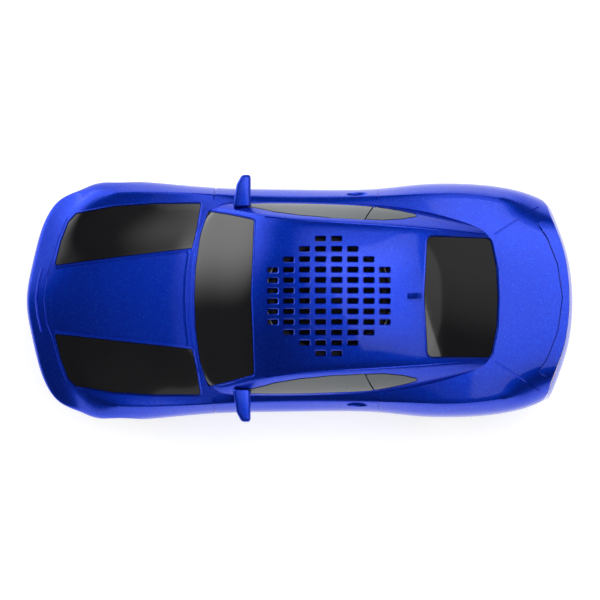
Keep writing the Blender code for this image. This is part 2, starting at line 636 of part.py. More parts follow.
def add_chassis():
    """Floor pan with axle bearings, board posts and openings for the controls."""
    outline = rounded_outline(symmetric(PAN_HALF), 2.0, 2)
    pan = add_mesh("chassis_pan", prism_bmesh(outline, "Z", PAN_BOTTOM_Z, PAN_TOP_Z), PARTS, "matte_black")
    overlap = 0.8
    for x, axle in ((FRONT_AXLE_X, "front"), (REAR_AXLE_X, "rear")):
        for side in (1, -1):
            lo = (x - 4.0, side * BEARING_Y - 2.5, PAN_TOP_Z - overlap)
            hi = (x + 4.0, side * BEARING_Y + 2.5, WHEEL_R + 4.0)
            block = add_mesh(f"bearing_{axle}_{side}", box_bmesh(lo, hi), CUTTERS)
            boolean(pan, "UNION", block)
        bore = cylinder_bmesh((x, 0, WHEEL_R), AXLE_BORE_R, 60.0, "Y", 24)
        boolean(pan, "DIFFERENCE", add_mesh(f"axle_bore_{axle}", bore, CUTTERS))
    for sx in (1, -1):
        for sy in (1, -1):
            top_z = BOARD_Z - GAP
            height = top_z - PAN_TOP_Z + overlap
            post = cylinder_bmesh((sx * 36.0, sy * 16.0, top_z - height / 2), 2.0, height, segments=12)
            boolean(pan, "UNION", add_mesh(f"board_post_{sx}_{sy}", post, CUTTERS))
    middle = (PAN_BOTTOM_Z + PAN_TOP_Z) / 2
    openings = [cylinder_bmesh((x, 0, middle), BUTTON_R + GAP, 4.0, segments=16) for x in BUTTONS.values()]
    openings += [cylinder_bmesh((JACK_X, 0, middle), 3.3, 4.0, segments=16)]
    openings += [box_bmesh((x - w / 2, y - d / 2, middle - 2), (x + w / 2, y + d / 2, middle + 2))
                 for x, y, w, d in (SWITCH_OPENING, CHARGE_OPENING, CARD_OPENING)]
    openings += [cylinder_bmesh((x, y, middle), 1.5, 4.0, segments=12) for x, y in SCREWS.values()]
    openings += [cylinder_bmesh((x, y, PAN_BOTTOM_Z), 3.0, 2.0, segments=12) for x, y in SCREWS.values()]
    for i, opening in enumerate(openings):
        boolean(pan, "DIFFERENCE", add_mesh(f"pan_opening_{i}", opening, CUTTERS))


def add_screws():
    for label, (x, y) in SCREWS.items():
        head_z = PAN_BOTTOM_Z + 0.2
        profile = [(0, 15.0), (1.0, 14.6), (1.0, head_z + 0.5), (2.6, head_z + 0.5), (2.6, head_z),
                   (0, head_z)]
        turned(f"screw_{label}", profile, (x, y, 0), PARTS, "axle_steel", 16, False)


def add_wheel_liners():
    """Arched liners that close the wheel openings off from the inside of the body."""
    for x, axle in ((FRONT_AXLE_X, "front"), (REAR_AXLE_X, "rear")):
        for side, label in ((1, "left"), (-1, "right")):
            inner, outer = LINER_Y
            profile = [(LINER_R, outer), (LINER_R, inner), (2.4, inner), (2.4, inner + 0.8),
                       (LINER_R - 0.8, inner + 0.8), (LINER_R - 0.8, outer)]
            facing = "Y" if side > 0 else "-Y"
            name = f"wheel_liner_{axle}_{label}"
            liner = turned(name, profile, (x, 0, WHEEL_R), PARTS, "matte_black", 18, True, facing)
            low = box_bmesh((x - 20, -50, -20), (x + 20, 50, LINER_BOTTOM_Z))
            boolean(liner, "DIFFERENCE", add_mesh(f"{name}_cut", low, CUTTERS), "MANIFOLD")


def add_loudspeaker():
    """Full-range driver facing up at the roof grille."""
    at = (DRIVER_X, 0, 0)
    z = FLANGE_Z
    frame = [(18.8, z + 1.4), (DRIVER_R, z + 1.4), (DRIVER_R, z), (19.6, z), (15.2, z - 8.6),
             (8.4, z - 8.6), (8.4, z - 7.6), (14.4, z - 7.6)]
    basket = turned("speaker_basket", frame, at, PARTS, "basket_steel", 28)
    for k in range(4):
        turn = math.radians(45 + 90 * k)
        window = box_bmesh((11.0, -5.0, z - 6.6), (24.0, 5.0, z - 1.4))
        bmesh.ops.rotate(window, cent=(0, 0, 0), matrix=Matrix.Rotation(turn, 3, "Z"), verts=window.verts)
        bmesh.ops.translate(window, vec=at, verts=window.verts)
        boolean(basket, "DIFFERENCE", add_mesh(f"basket_window_{k}", window, CUTTERS))
    gasket = [(DRIVER_R - 0.4, z + 2.3), (DRIVER_R - 0.4, z + 1.7), (21.6, z + 1.7), (21.6, z + 2.3)]
    turned("speaker_gasket", gasket, at, PARTS, "surround_rubber", 28)
    arc = [math.radians(d) for d in range(0, 181, 45)]
    roll = [(19.2 + 1.9 * math.cos(a), z + 2.2 + 1.1 * math.sin(a)) for a in arc]
    under = [(r, height - 0.5) for r, height in roll[::-1]]
    turned("cone_surround", under[::-1] + roll[::-1], at, PARTS, "surround_rubber", 28)
    cone = [(17.0, z + 1.3), (17.0, z + 0.7), (7.9, z - 5.2), (7.0, z - 5.2), (7.0, z - 4.5), (15.6, z + 1.1)]
    turned("speaker_cone", cone, at, PARTS, "cone_paper", 28)
    arc = [math.radians(d) for d in range(0, 91, 30)]
    dome = [(7.6 * math.sin(a), z - 3.4 + 2.2 * math.cos(a)) for a in arc]
    hollow = [(max(r - 0.4, 0.0), height - 0.5) for r, height in dome[::-1]]
    turned("dust_cap", dome + hollow, at, PARTS, "cone_paper", 20, False)
    coil_top = z - 5.5
    turned("voice_coil", [(7.4, coil_top), (7.4, z - 13.0), (6.9, z - 13.0), (6.9, coil_top)], at, PARTS,
           "basket_steel", 24)
    turned("spider", [(13.6, z - 6.6), (13.6, z - 7.1), (10.6, z - 6.6), (7.7, z - 6.9), (7.7, z - 6.4),
                      (10.6, z - 6.1)], at, PARTS, "battery_wrap", 24)
    plate = z - 8.9
    magnet = [(0, plate - 0.2), (6.5, plate - 0.2), (6.5, plate - 5.6), (7.9, plate - 5.6), (7.9, plate),
              (14.5, plate), (14.5, plate - 7.6), (0, plate - 7.6)]
    turned("speaker_magnet", magnet, at, PARTS, "magnet_ferrite", 24, False)


def smooth_route(points, steps):
    """Catmull-Rom curve through the points."""
    ends = [points[0] * 2 - points[1]] + points + [points[-1] * 2 - points[-2]]
    route = []
    for a, b, c, d in zip(ends, ends[1:], ends[2:], ends[3:]):
        for k in range(steps):
            t = k / steps
            route.append(0.5 * (2 * b + (c - a) * t + (2 * a - 5 * b + 4 * c - d) * t ** 2
                                + (3 * b - a - 3 * c + d) * t ** 3))
    return route + [points[-1]]


def add_lead(name, points):
    """Twin lead inside the body, as one round cord."""
    curve = bpy.data.curves.new(name, "CURVE")
    curve.dimensions = "3D"
    curve.bevel_depth = LEAD_R * MM
    curve.bevel_resolution = 1
    curve.use_fill_caps = True
    spline = curve.splines.new("POLY")
    route = smooth_route([Vector(p) for p in points], 4)
    spline.points.add(len(route) - 1)
    for point, place in zip(spline.points, route):
        point.co = (*(place * MM), 1.0)
    obj = bpy.data.objects.new(name, curve)
    curve.materials.append(make_material("lead_red"))
    PARTS.objects.link(obj)


def add_electronics():
    """Board, cell, sockets, power switch and buttons, all reached from underneath."""
    add_mesh("main_board", box_bmesh((-40, -19, BOARD_Z), (40, 19, BOARD_Z + 1.2)), PARTS, "board_green")
    cell = add_mesh("battery_cell", box_bmesh((-20, -16, BOARD_Z + 1.6), (30, 16, BOARD_Z + 7.6)), PARTS,
                    "battery_wrap")
    bevel = cell.modifiers.new("round", "BEVEL")
    bevel.width = 1.2 * MM
    bevel.segments = 2
    under = BOARD_Z - GAP
    x, y, w, d = CHARGE_OPENING
    socket = add_mesh("charging_socket", box_bmesh((x - 4.5, y - 1.6, 6.3), (x + 4.5, y + 1.6, under)), PARTS,
                      "axle_steel")
    mouth = add_mesh("charging_mouth", box_bmesh((x - 3.9, y - 1.1, 5.0), (x + 3.9, y + 1.1, 9.6)), CUTTERS)
    boolean(socket, "DIFFERENCE", mouth)
    turned("audio_jack", [(2.9, under), (2.9, 6.3), (1.8, 6.3), (1.8, under)], (JACK_X, 0, 0), PARTS,
           "matte_black", 16)
    x, y, w, d = CARD_OPENING
    card = add_mesh("card_slot", box_bmesh((x - 6.6, y - 1.3, 6.3), (x + 6.6, y + 1.3, under)), PARTS,
                    "axle_steel")
    mouth = add_mesh("card_mouth", box_bmesh((x - 5.9, y - 0.6, 5.0), (x + 5.9, y + 0.6, 10.4)), CUTTERS)
    boolean(card, "DIFFERENCE", mouth)
    x = SWITCH_OPENING[0]
    add_mesh("power_switch_body", box_bmesh((x - 5.0, -2.0, 8.9), (x + 5.0, 2.0, under)), PARTS, "axle_steel")
    left = x - SWITCH_TRAVEL / 2
    knob = add_mesh("power_switch_knob", box_bmesh((left - 1.2, -1.1, 5.3), (left + 1.2, 1.1, 8.6)), PARTS,
                    "button_rubber")
    set_origin(knob, (left, 0, 6.5))
    for label, x in BUTTONS.items():
        profile = [(0, 10.2), (1.2, 10.2), (1.2, 9.2), (BUTTON_R + 1, 9.2), (BUTTON_R + 1, PAN_TOP_Z + GAP),
                   (BUTTON_R, PAN_TOP_Z + GAP), (BUTTON_R, 5.5), (BUTTON_R - 0.4, 5.2), (0, 5.2)]
        turned(f"button_{label}", profile, (x, 0, 0), PARTS, "button_rubber", 16, False)
    add_lead("speaker_lead", [(DRIVER_X + 16.6, 0, FLANGE_Z - 10.4), (14.0, 2.0, 33.0), (25.0, 7.0, 26.5),
                              (33.0, 10.0, 20.5), (36.0, 10.0, BOARD_Z + 2.3)])
    add_lead("battery_lead", [(30.9, -6.0, 16.0), (33.5, -6.0, 16.2), (35.5, -6.0, 15.0),
                              (36.0, -6.0, BOARD_Z + 1.9)])


def add_wheels():
    """Two axles, each with a pair of pressed-on rims and tyres."""
    outer = TYRE_OUTER_Y
    inner = outer - TYRE_WIDTH
    tyre = [(WHEEL_R - 0.8, outer), (WHEEL_R, outer - 1.4), (WHEEL_R, inner + 1.4), (WHEEL_R - 0.8, inner),
            (RIM_R + 0.4, inner), (RIM_R + GAP, inner + 0.8), (RIM_R + GAP, outer - 0.8),
            (RIM_R + 0.4, outer)]
    face = outer - 0.9
    rim = [(0.0, face - 0.2), (2.6, face - 0.3), (3.2, face - 1.4), (RIM_R - 1.0, face - 1.2),
           (RIM_R - 0.9, face), (RIM_R, face), (RIM_R, inner + 0.9), (RIM_R - 0.8, inner + 0.9),
           (RIM_R - 1.0, face - 2.6), (3.2, face - 3.0), (3.0, face - 7.0), (AXLE_BORE_R, face - 7.0),
           (AXLE_BORE_R, face - 1.8), (0.0, face - 1.8)]
    for x, axle in ((FRONT_AXLE_X, "front"), (REAR_AXLE_X, "rear")):
        length = 2 * (face - 2.3)
        bar = cylinder_bmesh((x, 0, WHEEL_R), AXLE_R, length, "Y", 24)
        obj = add_mesh(f"{axle}_axle", bar, PARTS, "axle_steel")
        set_origin(obj, (x, 0, WHEEL_R))
        for side, label in ((1, "left"), (-1, "right")):
            facing = "Y" if side > 0 else "-Y"
            at = (x, 0, WHEEL_R)
            turned(f"tyre_{axle}_{label}", tyre, at, PARTS, "tyre_rubber", 20, True, facing)
            wheel = turned(f"rim_{axle}_{label}", rim, at, PARTS, "rim_silver", 16, False, facing)
            for k in range(SPOKES):
                angle = math.tau * (k + 0.5) / SPOKES
                outline = [(4.2, -0.7), (RIM_R - 1.6, -3.0), (RIM_R - 1.6, 3.0), (4.2, 0.7)]
                wedge = prism_bmesh(outline, "Z", side * (face - 5.0), side * (face + 1.0))
                turn = Matrix.Rotation(-math.pi / 2, 3, "X") @ Matrix.Rotation(angle, 3, "Z")
                bmesh.ops.rotate(wedge, cent=(0, 0, 0), matrix=turn, verts=wedge.verts)
                bmesh.ops.translate(wedge, vec=at, verts=wedge.verts)
                boolean(wheel, "DIFFERENCE", add_mesh(f"spoke_gap_{axle}_{label}_{k}", wedge, CUTTERS))


clear_scene()
PARTS = new_collection("car_speaker")
CUTTERS = new_collection("cutters")
body = build_body()
add_spoiler(body)
add_posts(body)
add_mirrors()
add_aerial()
add_chassis()
add_screws()
add_wheel_liners()
add_loudspeaker()
add_electronics()
add_wheels()
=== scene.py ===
"""The car-shaped loudspeaker's looks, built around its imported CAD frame.

Metres, +X to the nose, +Y to the car's left, +Z up. Sizes in the script are millimetres,
multiplied by MM, and places come from the CAD boxes where they can.
"""
import math

import bmesh
import bpy
from mathutils import Matrix, Vector
from mathutils.bvhtree import BVHTree


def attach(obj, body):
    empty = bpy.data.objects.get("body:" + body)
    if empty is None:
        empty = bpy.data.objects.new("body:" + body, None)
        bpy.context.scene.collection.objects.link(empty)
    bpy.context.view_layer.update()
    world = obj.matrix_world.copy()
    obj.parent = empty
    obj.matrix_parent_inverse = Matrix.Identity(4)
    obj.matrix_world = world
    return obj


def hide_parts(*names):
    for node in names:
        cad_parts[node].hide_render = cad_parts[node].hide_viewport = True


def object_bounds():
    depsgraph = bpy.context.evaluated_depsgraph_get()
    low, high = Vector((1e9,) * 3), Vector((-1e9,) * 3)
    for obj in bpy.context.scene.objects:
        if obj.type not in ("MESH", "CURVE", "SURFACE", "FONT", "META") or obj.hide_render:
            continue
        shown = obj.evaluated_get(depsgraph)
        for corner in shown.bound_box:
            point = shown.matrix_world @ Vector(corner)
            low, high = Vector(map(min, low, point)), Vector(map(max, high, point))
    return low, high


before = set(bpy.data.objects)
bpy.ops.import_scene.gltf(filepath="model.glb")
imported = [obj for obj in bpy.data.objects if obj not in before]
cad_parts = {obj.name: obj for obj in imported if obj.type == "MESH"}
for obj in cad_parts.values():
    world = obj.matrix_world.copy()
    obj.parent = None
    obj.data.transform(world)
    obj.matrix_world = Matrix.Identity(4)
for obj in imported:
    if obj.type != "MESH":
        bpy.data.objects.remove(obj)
cad_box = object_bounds()

MM = 0.001
SLIVER = 0.000002         # shortest edge kept, in metres
GAP = 0.16                # gap shown round a fitted panel
RECESS = 1.4
PANEL_THICK = 1.1
FINE = 3                  # subdivision of the visible surfaces
COARSE = 2                # subdivision of surfaces inside the moulding
GROOVE_R = 0.22
SILL_Z = 7.0
HALF_LENGTH = 95.0
HALF_WIDTH = 41.2
WALL = 2.4
LOWER_WALL = 3.2
STUDIO_HALF = 3000.0      # the floor reaches this far, in mm
FLOOR_GLOW = 0.72
CAR = "car"


# ---- mesh tools ----
def new_object(name, mesh):
    obj = bpy.data.objects.new(name, mesh)
    bpy.context.scene.collection.objects.link(obj)
    return obj


def add_mesh(name, bm):
    """A bmesh in millimetres as an object in metres."""
    bmesh.ops.scale(bm, vec=(MM, MM, MM), verts=bm.verts)
    bmesh.ops.recalc_face_normals(bm, faces=bm.faces)
    mesh = bpy.data.meshes.new(name)
    bm.to_mesh(mesh)
    bm.free()
    return new_object(name, mesh)


def settle(obj):
    """Apply an object's modifiers and its place to its mesh."""
    depsgraph = bpy.context.evaluated_depsgraph_get()
    mesh = bpy.data.meshes.new_from_object(obj.evaluated_get(depsgraph))
    mesh.transform(obj.matrix_world)
    if obj.type == "CURVE":
        name = obj.name
        bpy.data.objects.remove(obj)
        obj = new_object(name, mesh)
        bm = bmesh.new()
        bm.from_mesh(mesh)
        bmesh.ops.remove_doubles(bm, verts=bm.verts, dist=0.000001)
        bmesh.ops.recalc_face_normals(bm, faces=bm.faces)
        bm.to_mesh(mesh)
        bm.free()
        return obj
    obj.modifiers.clear()
    obj.data = mesh
    obj.matrix_world = Matrix.Identity(4)
    return obj


def carve(obj, tool, operation="DIFFERENCE", keep=False):
    """One Boolean, applied at once."""
    mod = obj.modifiers.new("carve", "BOOLEAN")
    mod.operation = operation
    mod.object = tool
    mod.solver = "MANIFOLD"
    settle(obj)
    if not keep:
        bpy.data.objects.remove(tool)
    return obj


def copy_of(obj, name):
    return new_object(name, obj.data.copy())


def joined(name, objects):
    """Several separate closed tools as one."""
    bm = bmesh.new()
    for obj in objects:
        obj.data.transform(obj.matrix_world)
        bm.from_mesh(obj.data)
        bpy.data.objects.remove(obj)
    mesh = bpy.data.meshes.new(name)
    bm.to_mesh(mesh)
    bm.free()
    return new_object(name, mesh)


def bevelled(obj, width, segments=3, angle=40.0):
    """Round the edges sharper than an angle in degrees."""
    mod = obj.modifiers.new("bevel", "BEVEL")
    mod.width = width * MM
    mod.segments = segments
    mod.limit_method = "ANGLE"
    mod.angle_limit = math.radians(angle)
    return settle(obj)


def smooth(obj, degrees=30):
    obj.data.shade_smooth()
    obj.data.set_sharp_from_angle(angle=math.radians(degrees))
    return obj


def clean(obj):
    """Take out the slivers that Booleans leave and split many-sided faces evenly."""
    bm = bmesh.new()
    bm.from_mesh(obj.data)
    bmesh.ops.dissolve_degenerate(bm, edges=bm.edges, dist=SLIVER)
    bmesh.ops.triangulate(bm, faces=[face for face in bm.faces if len(face.verts) > 4], ngon_method="BEAUTY")
    for vert in bm.verts:              # the fine nose and tail stay within the CAD box
        vert.co.x = min(max(vert.co.x, cad_box[0].x), cad_box[1].x)
    bm.to_mesh(obj.data)
    bm.free()


def finish_piece(obj, material, body, node=None, degrees=30):
    """Clean and shade a piece, give it its material and put it on its CAD body.
    """
    clean(obj)
    obj.data.materials.clear()
    obj.data.materials.append(material)
    smooth(obj, degrees)
    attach(obj, body)
    if node:
        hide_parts(node)
    return obj


def box(name, lo, hi):
    bm = bmesh.new()
    bmesh.ops.create_cube(bm, size=1.0)
    bmesh.ops.scale(bm, vec=[h - l for l, h in zip(lo, hi)], verts=bm.verts)
    bmesh.ops.translate(bm, vec=[(h + l) / 2 for l, h in zip(lo, hi)], verts=bm.verts)
    return add_mesh(name, bm)


def cylinder(name, centre, radius, length, axis="Z", segments=48, far_radius=None):
    bm = bmesh.new()
    bmesh.ops.create_cone(bm, cap_ends=True, segments=segments, radius1=radius,
                          radius2=radius if far_radius is None else far_radius, depth=length)
    turn = {"Z": Matrix.Identity(3),
            "Y": Matrix.Rotation(-math.pi / 2, 3, "X"),
            "X": Matrix.Rotation(math.pi / 2, 3, "Y")}[axis]
    bmesh.ops.rotate(bm, cent=(0, 0, 0), matrix=turn, verts=bm.verts)
    bmesh.ops.translate(bm, vec=centre, verts=bm.verts)
    return add_mesh(name, bm)


def prism(name, outline, axis, lo, hi):
    place = {"Z": lambda u, v, w: (u, v, w),
             "Y": lambda u, v, w: (u, w, v),
             "X": lambda u, v, w: (w, u, v)}[axis]
    bm = bmesh.new()
    base = bm.faces.new([bm.verts.new(place(u, v, lo)) for u, v in outline])
    moved = bmesh.ops.extrude_face_region(bm, geom=[base])["geom"]
    travel = Vector(place(0, 0, hi)) - Vector(place(0, 0, lo))
    bmesh.ops.translate(bm, vec=travel, verts=[v for v in moved if isinstance(v, bmesh.types.BMVert)])
    return add_mesh(name, bm)


def turned(name, profile, centre=(0, 0, 0), steps=64, closed=True, axis="Z"):
    """A turned piece from (radius, height) points that run down the outer side."""
    mesh = bpy.data.meshes.new(name)
    points = [(r * MM, 0.0, z * MM) for r, z in profile]
    edges = [(i, i + 1) for i in range(len(points) - 1)]
    if closed:
        edges.append((len(points) - 1, 0))
    mesh.from_pydata(points, edges, [])
    obj = new_object(name, mesh)
    obj.location = Vector(centre) * MM
    obj.rotation_euler.x = {"Z": 0.0, "Y": -math.pi / 2, "-Y": math.pi / 2}[axis]
    screw = obj.modifiers.new("turn", "SCREW")
    screw.steps = steps
    screw.render_steps = steps
    screw.use_merge_vertices = True
    screw.merge_threshold = 0.00001
    bpy.context.view_layer.update()
    return settle(obj)


def arc_points(centre, radius, start, end, steps):
    """Points of a circular arc in a profile, angles in degrees."""
    angles = [math.radians(start + (end - start) * k / steps) for k in range(steps + 1)]
    return [(centre[0] + radius * math.cos(a), centre[1] + radius * math.sin(a)) for a in angles]


def symmetric(half):
    """Close a left-hand half outline that starts and ends on the centre line."""
    return half + [(u, -v) for u, v in half[::-1] if v > 0]


def mirrored(outline):
    return [(u, -v) for u, v in outline]


def rounded(points, radius, steps=5):
    """Round each clear corner of a closed outline with a short arc."""
    out = []
    count = len(points)
    for i, corner in enumerate(points):
        p = Vector(corner)
        before = Vector(points[i - 1]) - p
        after = Vector(points[(i + 1) % count]) - p
        turn = before.angle(after)
        if turn > math.radians(168):
            out.append(tuple(p))
            continue
        cut = min(radius / math.tan(turn / 2), 0.45 * min(before.length, after.length))
        start = p + before.normalized() * cut
        end = p + after.normalized() * cut
        for k in range(steps + 1):
            t = k / steps
            out.append(tuple(start * (1 - t) ** 2 + p * 2 * t * (1 - t) + end * t ** 2))
    return out


def grown(points, amount):
    """Offset a closed outline outwards (positive) or inwards."""
    count = len(points)
    area = sum(points[i - 1][0] * points[i][1] - points[i][0] * points[i - 1][1] for i in range(count))
    side = 1.0 if area > 0 else -1.0
    out = []
    for i in range(count):
        p = Vector(points[i])
        incoming = (p - Vector(points[i - 1])).normalized()
        outgoing = (Vector(points[(i + 1) % count]) - p).normalized()
        n1 = Vector((incoming.y, -incoming.x)) * side
        n2 = Vector((outgoing.y, -outgoing.x)) * side
        mitre = (n1 + n2).normalized()
        out.append(tuple(p + mitre * amount / max(mitre.dot(n1), 0.5)))
    return out


def refined(points, step, closed=True):
    """Add points along an outline so that none are further apart than the step."""
    out = []
    count = len(points)
    for i in range(count if closed else count - 1):
        a = Vector(points[i])
        b = Vector(points[(i + 1) % count])
        pieces = max(1, math.ceil((b - a).length / step))
        out += [tuple(a.lerp(b, k / pieces)) for k in range(pieces)]
    if not closed:
        out.append(tuple(points[-1]))
    return out


def tube(name, points, radius, closed=True):
    """Thin round rod along points in millimetres, as a closed mesh."""
    curve = bpy.data.curves.new(name, "CURVE")
    curve.dimensions = "3D"
    curve.bevel_depth = radius * MM
    curve.bevel_resolution = 1
    curve.use_fill_caps = True
    spline = curve.splines.new("POLY")
    spline.points.add(len(points) - 1)
    for point, place in zip(spline.points, points):
        point.co = (*(Vector(place) * MM), 1.0)
    spline.use_cyclic_u = closed
    return settle(new_object(name, curve))


class Surface:
    """The uncut outside of a body, to lay outlines and details on."""

    def __init__(self, *objects):
        self.trees = []
        for obj in objects:
            bm = bmesh.new()
            bm.from_mesh(obj.data)
            self.trees.append(BVHTree.FromBMesh(bm))
            bm.free()

    def at(self, u, v, axis):
        """Point in millimetres where a ray along an axis first meets the surface."""
        start, way = {
            "Z": ((u, v, 90.0), (0, 0, -1)),
            "+Y": ((u, 90.0, v), (0, -1, 0)),
            "-Y": ((u, -90.0, v), (0, 1, 0)),
            "+X": ((130.0, u, v), (-1, 0, 0)),
            "-X": ((-130.0, u, v), (1, 0, 0)),
        }[axis]
        best = None
        for tree in self.trees:
            hit, normal, _, distance = tree.ray_cast(Vector(start) * MM, Vector(way))
            if hit is not None and (best is None or distance < best[1]):
                best = (hit, distance, normal)
        return (best[0] / MM, best[2]) if best else (None, None)

    def lay(self, outline, axis, closed=True, step=0.8):
        """Outline points projected onto the surface."""
        laid = [self.at(u, v, axis)[0] for u, v in refined(outline, step, closed)]
        return [p for p in laid if p is not None]


# ---- body surface: two coarse cages ----
# Each station of the lower body is a line from the centre (y = 0) out to the widest point, as
# (x at the centre, [how far back each point is bowed], [y], [z]), in the order centre, dome edge,
# middle, panel edge, shoulder crease, widest.
LOWER_STATIONS = [
    (94.9, [0.0, 2.3, 3.9, 5.6, 8.2, 11.8], [0, 11.0, 18.0, 24.6, 30.6, 35.8],
     [29.6, 29.4, 29.0, 28.5, 28.0, 27.4]),
    (90.0, [0.0, 2.6, 4.6, 7.0, 10.4, 14.2], [0, 11.6, 18.5, 25.0, 31.4, 38.6],
     [31.9, 31.5, 31.0, 30.5, 30.1, 28.9]),
    (82.0, [0.0, 0.8, 2.4, 4.6, 7.2, 9.5], [0, 11.6, 20.0, 29.0, 34.4, 40.4],
     [34.2, 33.8, 32.7, 32.3, 32.6, 29.9]),
    (70.0, [0.0, 0.2, 0.8, 1.6, 2.2, 2.6], [0, 13.0, 22.6, 32.4, 36.8, 41.5],
     [36.7, 36.2, 34.5, 34.4, 35.2, 30.4]),
    (56.0, [0.0, 0.1, 0.4, 0.8, 1.0, 1.0], [0, 14.4, 23.6, 33.6, 37.2, 41.5],
     [38.3, 37.8, 36.1, 36.0, 36.6, 31.0]),
    (44.0, [0.0, 0.2, 0.6, 1.4, 1.4, 1.4], [0, 15.8, 24.2, 33.9, 36.8, 40.2],
     [39.4, 38.9, 37.2, 36.9, 37.1, 31.6]),
    (37.6, [0.0, 0.5, 1.6, 4.2, 4.6, 4.6], [0, 16.6, 24.6, 33.8, 36.4, 39.4],
     [39.8, 39.4, 38.0, 37.5, 37.3, 31.9]),
    (24.0, [0.0] * 6, [0, 17.0, 25.0, 33.2, 35.7, 38.8],
     [39.4, 39.0, 38.6, 38.2, 37.0, 31.8]),
    (4.0, [0.0] * 6, [0, 17.0, 25.0, 33.0, 35.3, 38.6],
     [39.4, 39.2, 39.0, 38.6, 37.0, 31.4]),
    (-14.0, [0.0] * 6, [0, 17.0, 25.0, 33.0, 35.3, 38.3],
     [39.6, 39.4, 39.2, 38.9, 37.3, 31.6]),
    (-28.0, [0.0] * 6, [0, 16.0, 24.0, 32.2, 35.4, 38.6],
     [40.4, 40.2, 40.1, 40.0, 39.0, 32.6]),
    (-41.0, [0.0] * 6, [0, 14.0, 21.0, 29.0, 36.0, 40.5],
     [41.6, 41.6, 41.8, 42.0, 40.9, 34.0]),
    (-54.0, [0.0] * 6, [0, 12.5, 19.5, 27.6, 36.5, 40.7],
     [42.8, 42.8, 42.9, 43.0, 41.6, 34.8]),
    (-66.0, [0.0] * 6, [0, 11.5, 18.5, 25.5, 35.2, 40.0],
     [43.6, 43.6, 43.5, 43.2, 41.5, 35.0]),
    (-76.0, [0.0] * 6, [0, 11.0, 17.8, 25.2, 33.4, 38.2],
     [43.9, 43.9, 43.7, 43.1, 40.9, 34.6]),
    (-84.5, [0.0, -0.3, -1.2, -2.6, -3.8, -2.6], [0, 10.8, 17.6, 24.4, 31.6, 36.0],
     [44.3, 44.2, 43.9, 43.2, 40.0, 33.8]),
    (-92.6, [0.0, -1.0, -2.9, -5.4, -7.2, -7.2], [0, 11.6, 19.0, 25.6, 30.6, 34.2],
     [44.6, 44.4, 43.9, 42.8, 39.2, 33.2]),
]
# Rows of the wall below the edge: (how far it stands out, height) at the nose, flank and tail.
NOSE_ROWS = [(1.3, 27.2), (-0.3, 21.5), (0.5, 14.0), (-1.6, SILL_Z)]
FLANK_ROWS = [(0.2, 27.0), (-0.5, 20.0), (-0.6, 12.0), (-2.6, SILL_Z)]
TAIL_ROWS = [(-0.4, 33.5), (3.1, 27.0), (2.8, 15.0), (-0.4, SILL_Z)]
NOSE_CREASE = 0.75
SHOULDER_CREASE = 0.65
DOME_CREASE = 0.55
TAIL_CREASE = 0.85


def blend_rows(first, second, t):
    return [(a[0] * (1 - t) + b[0] * t, a[1] * (1 - t) + b[1] * t) for a, b in zip(first, second)]


def close_cage(bm, top, walls):
    """Close a cage: its top, an underside that repeats the top's grid, and the walls between."""
    base = walls[-1]
    columns = len(top[0])
    bottom = [base[:columns]]
    for row, edge in zip(top[1:-1], base[columns:]):
        scale = edge.co.y / row[-1].co.y
        bottom.append([bm.verts.new((v.co.x, v.co.y * scale, edge.co.z)) for v in row[:-1]] + [edge])
    bottom.append(base[-columns:][::-1])
    for grid in (top, bottom):
        for row, following in zip(grid, grid[1:]):
            for c in range(columns - 1):
                bm.faces.new((row[c], following[c], following[c + 1], row[c + 1]))
    for upper, lower in zip(walls, walls[1:]):
        for i in range(len(upper) - 1):
            bm.faces.new((upper[i], upper[i + 1], lower[i + 1], lower[i]))


def finish_cage(name, bm, creases, levels):
    """Crease a half cage along its paths, then mirror and subdivide it."""
    layer = bm.edges.layers.float.new("crease_edge")
    for path, value in creases:
        for a, b in zip(path, path[1:]):
            bm.edges.get((a, b))[layer] = value
    obj = add_mesh(name, bm)
    mirror = obj.modifiers.new("mirror", "MIRROR")
    mirror.use_axis = (False, True, False)
    mirror.use_clip = True
    mirror.merge_threshold = 0.0001
    subdivide = obj.modifiers.new("subdivide", "SUBSURF")
    subdivide.levels = levels
    subdivide.render_levels = levels
    return obj


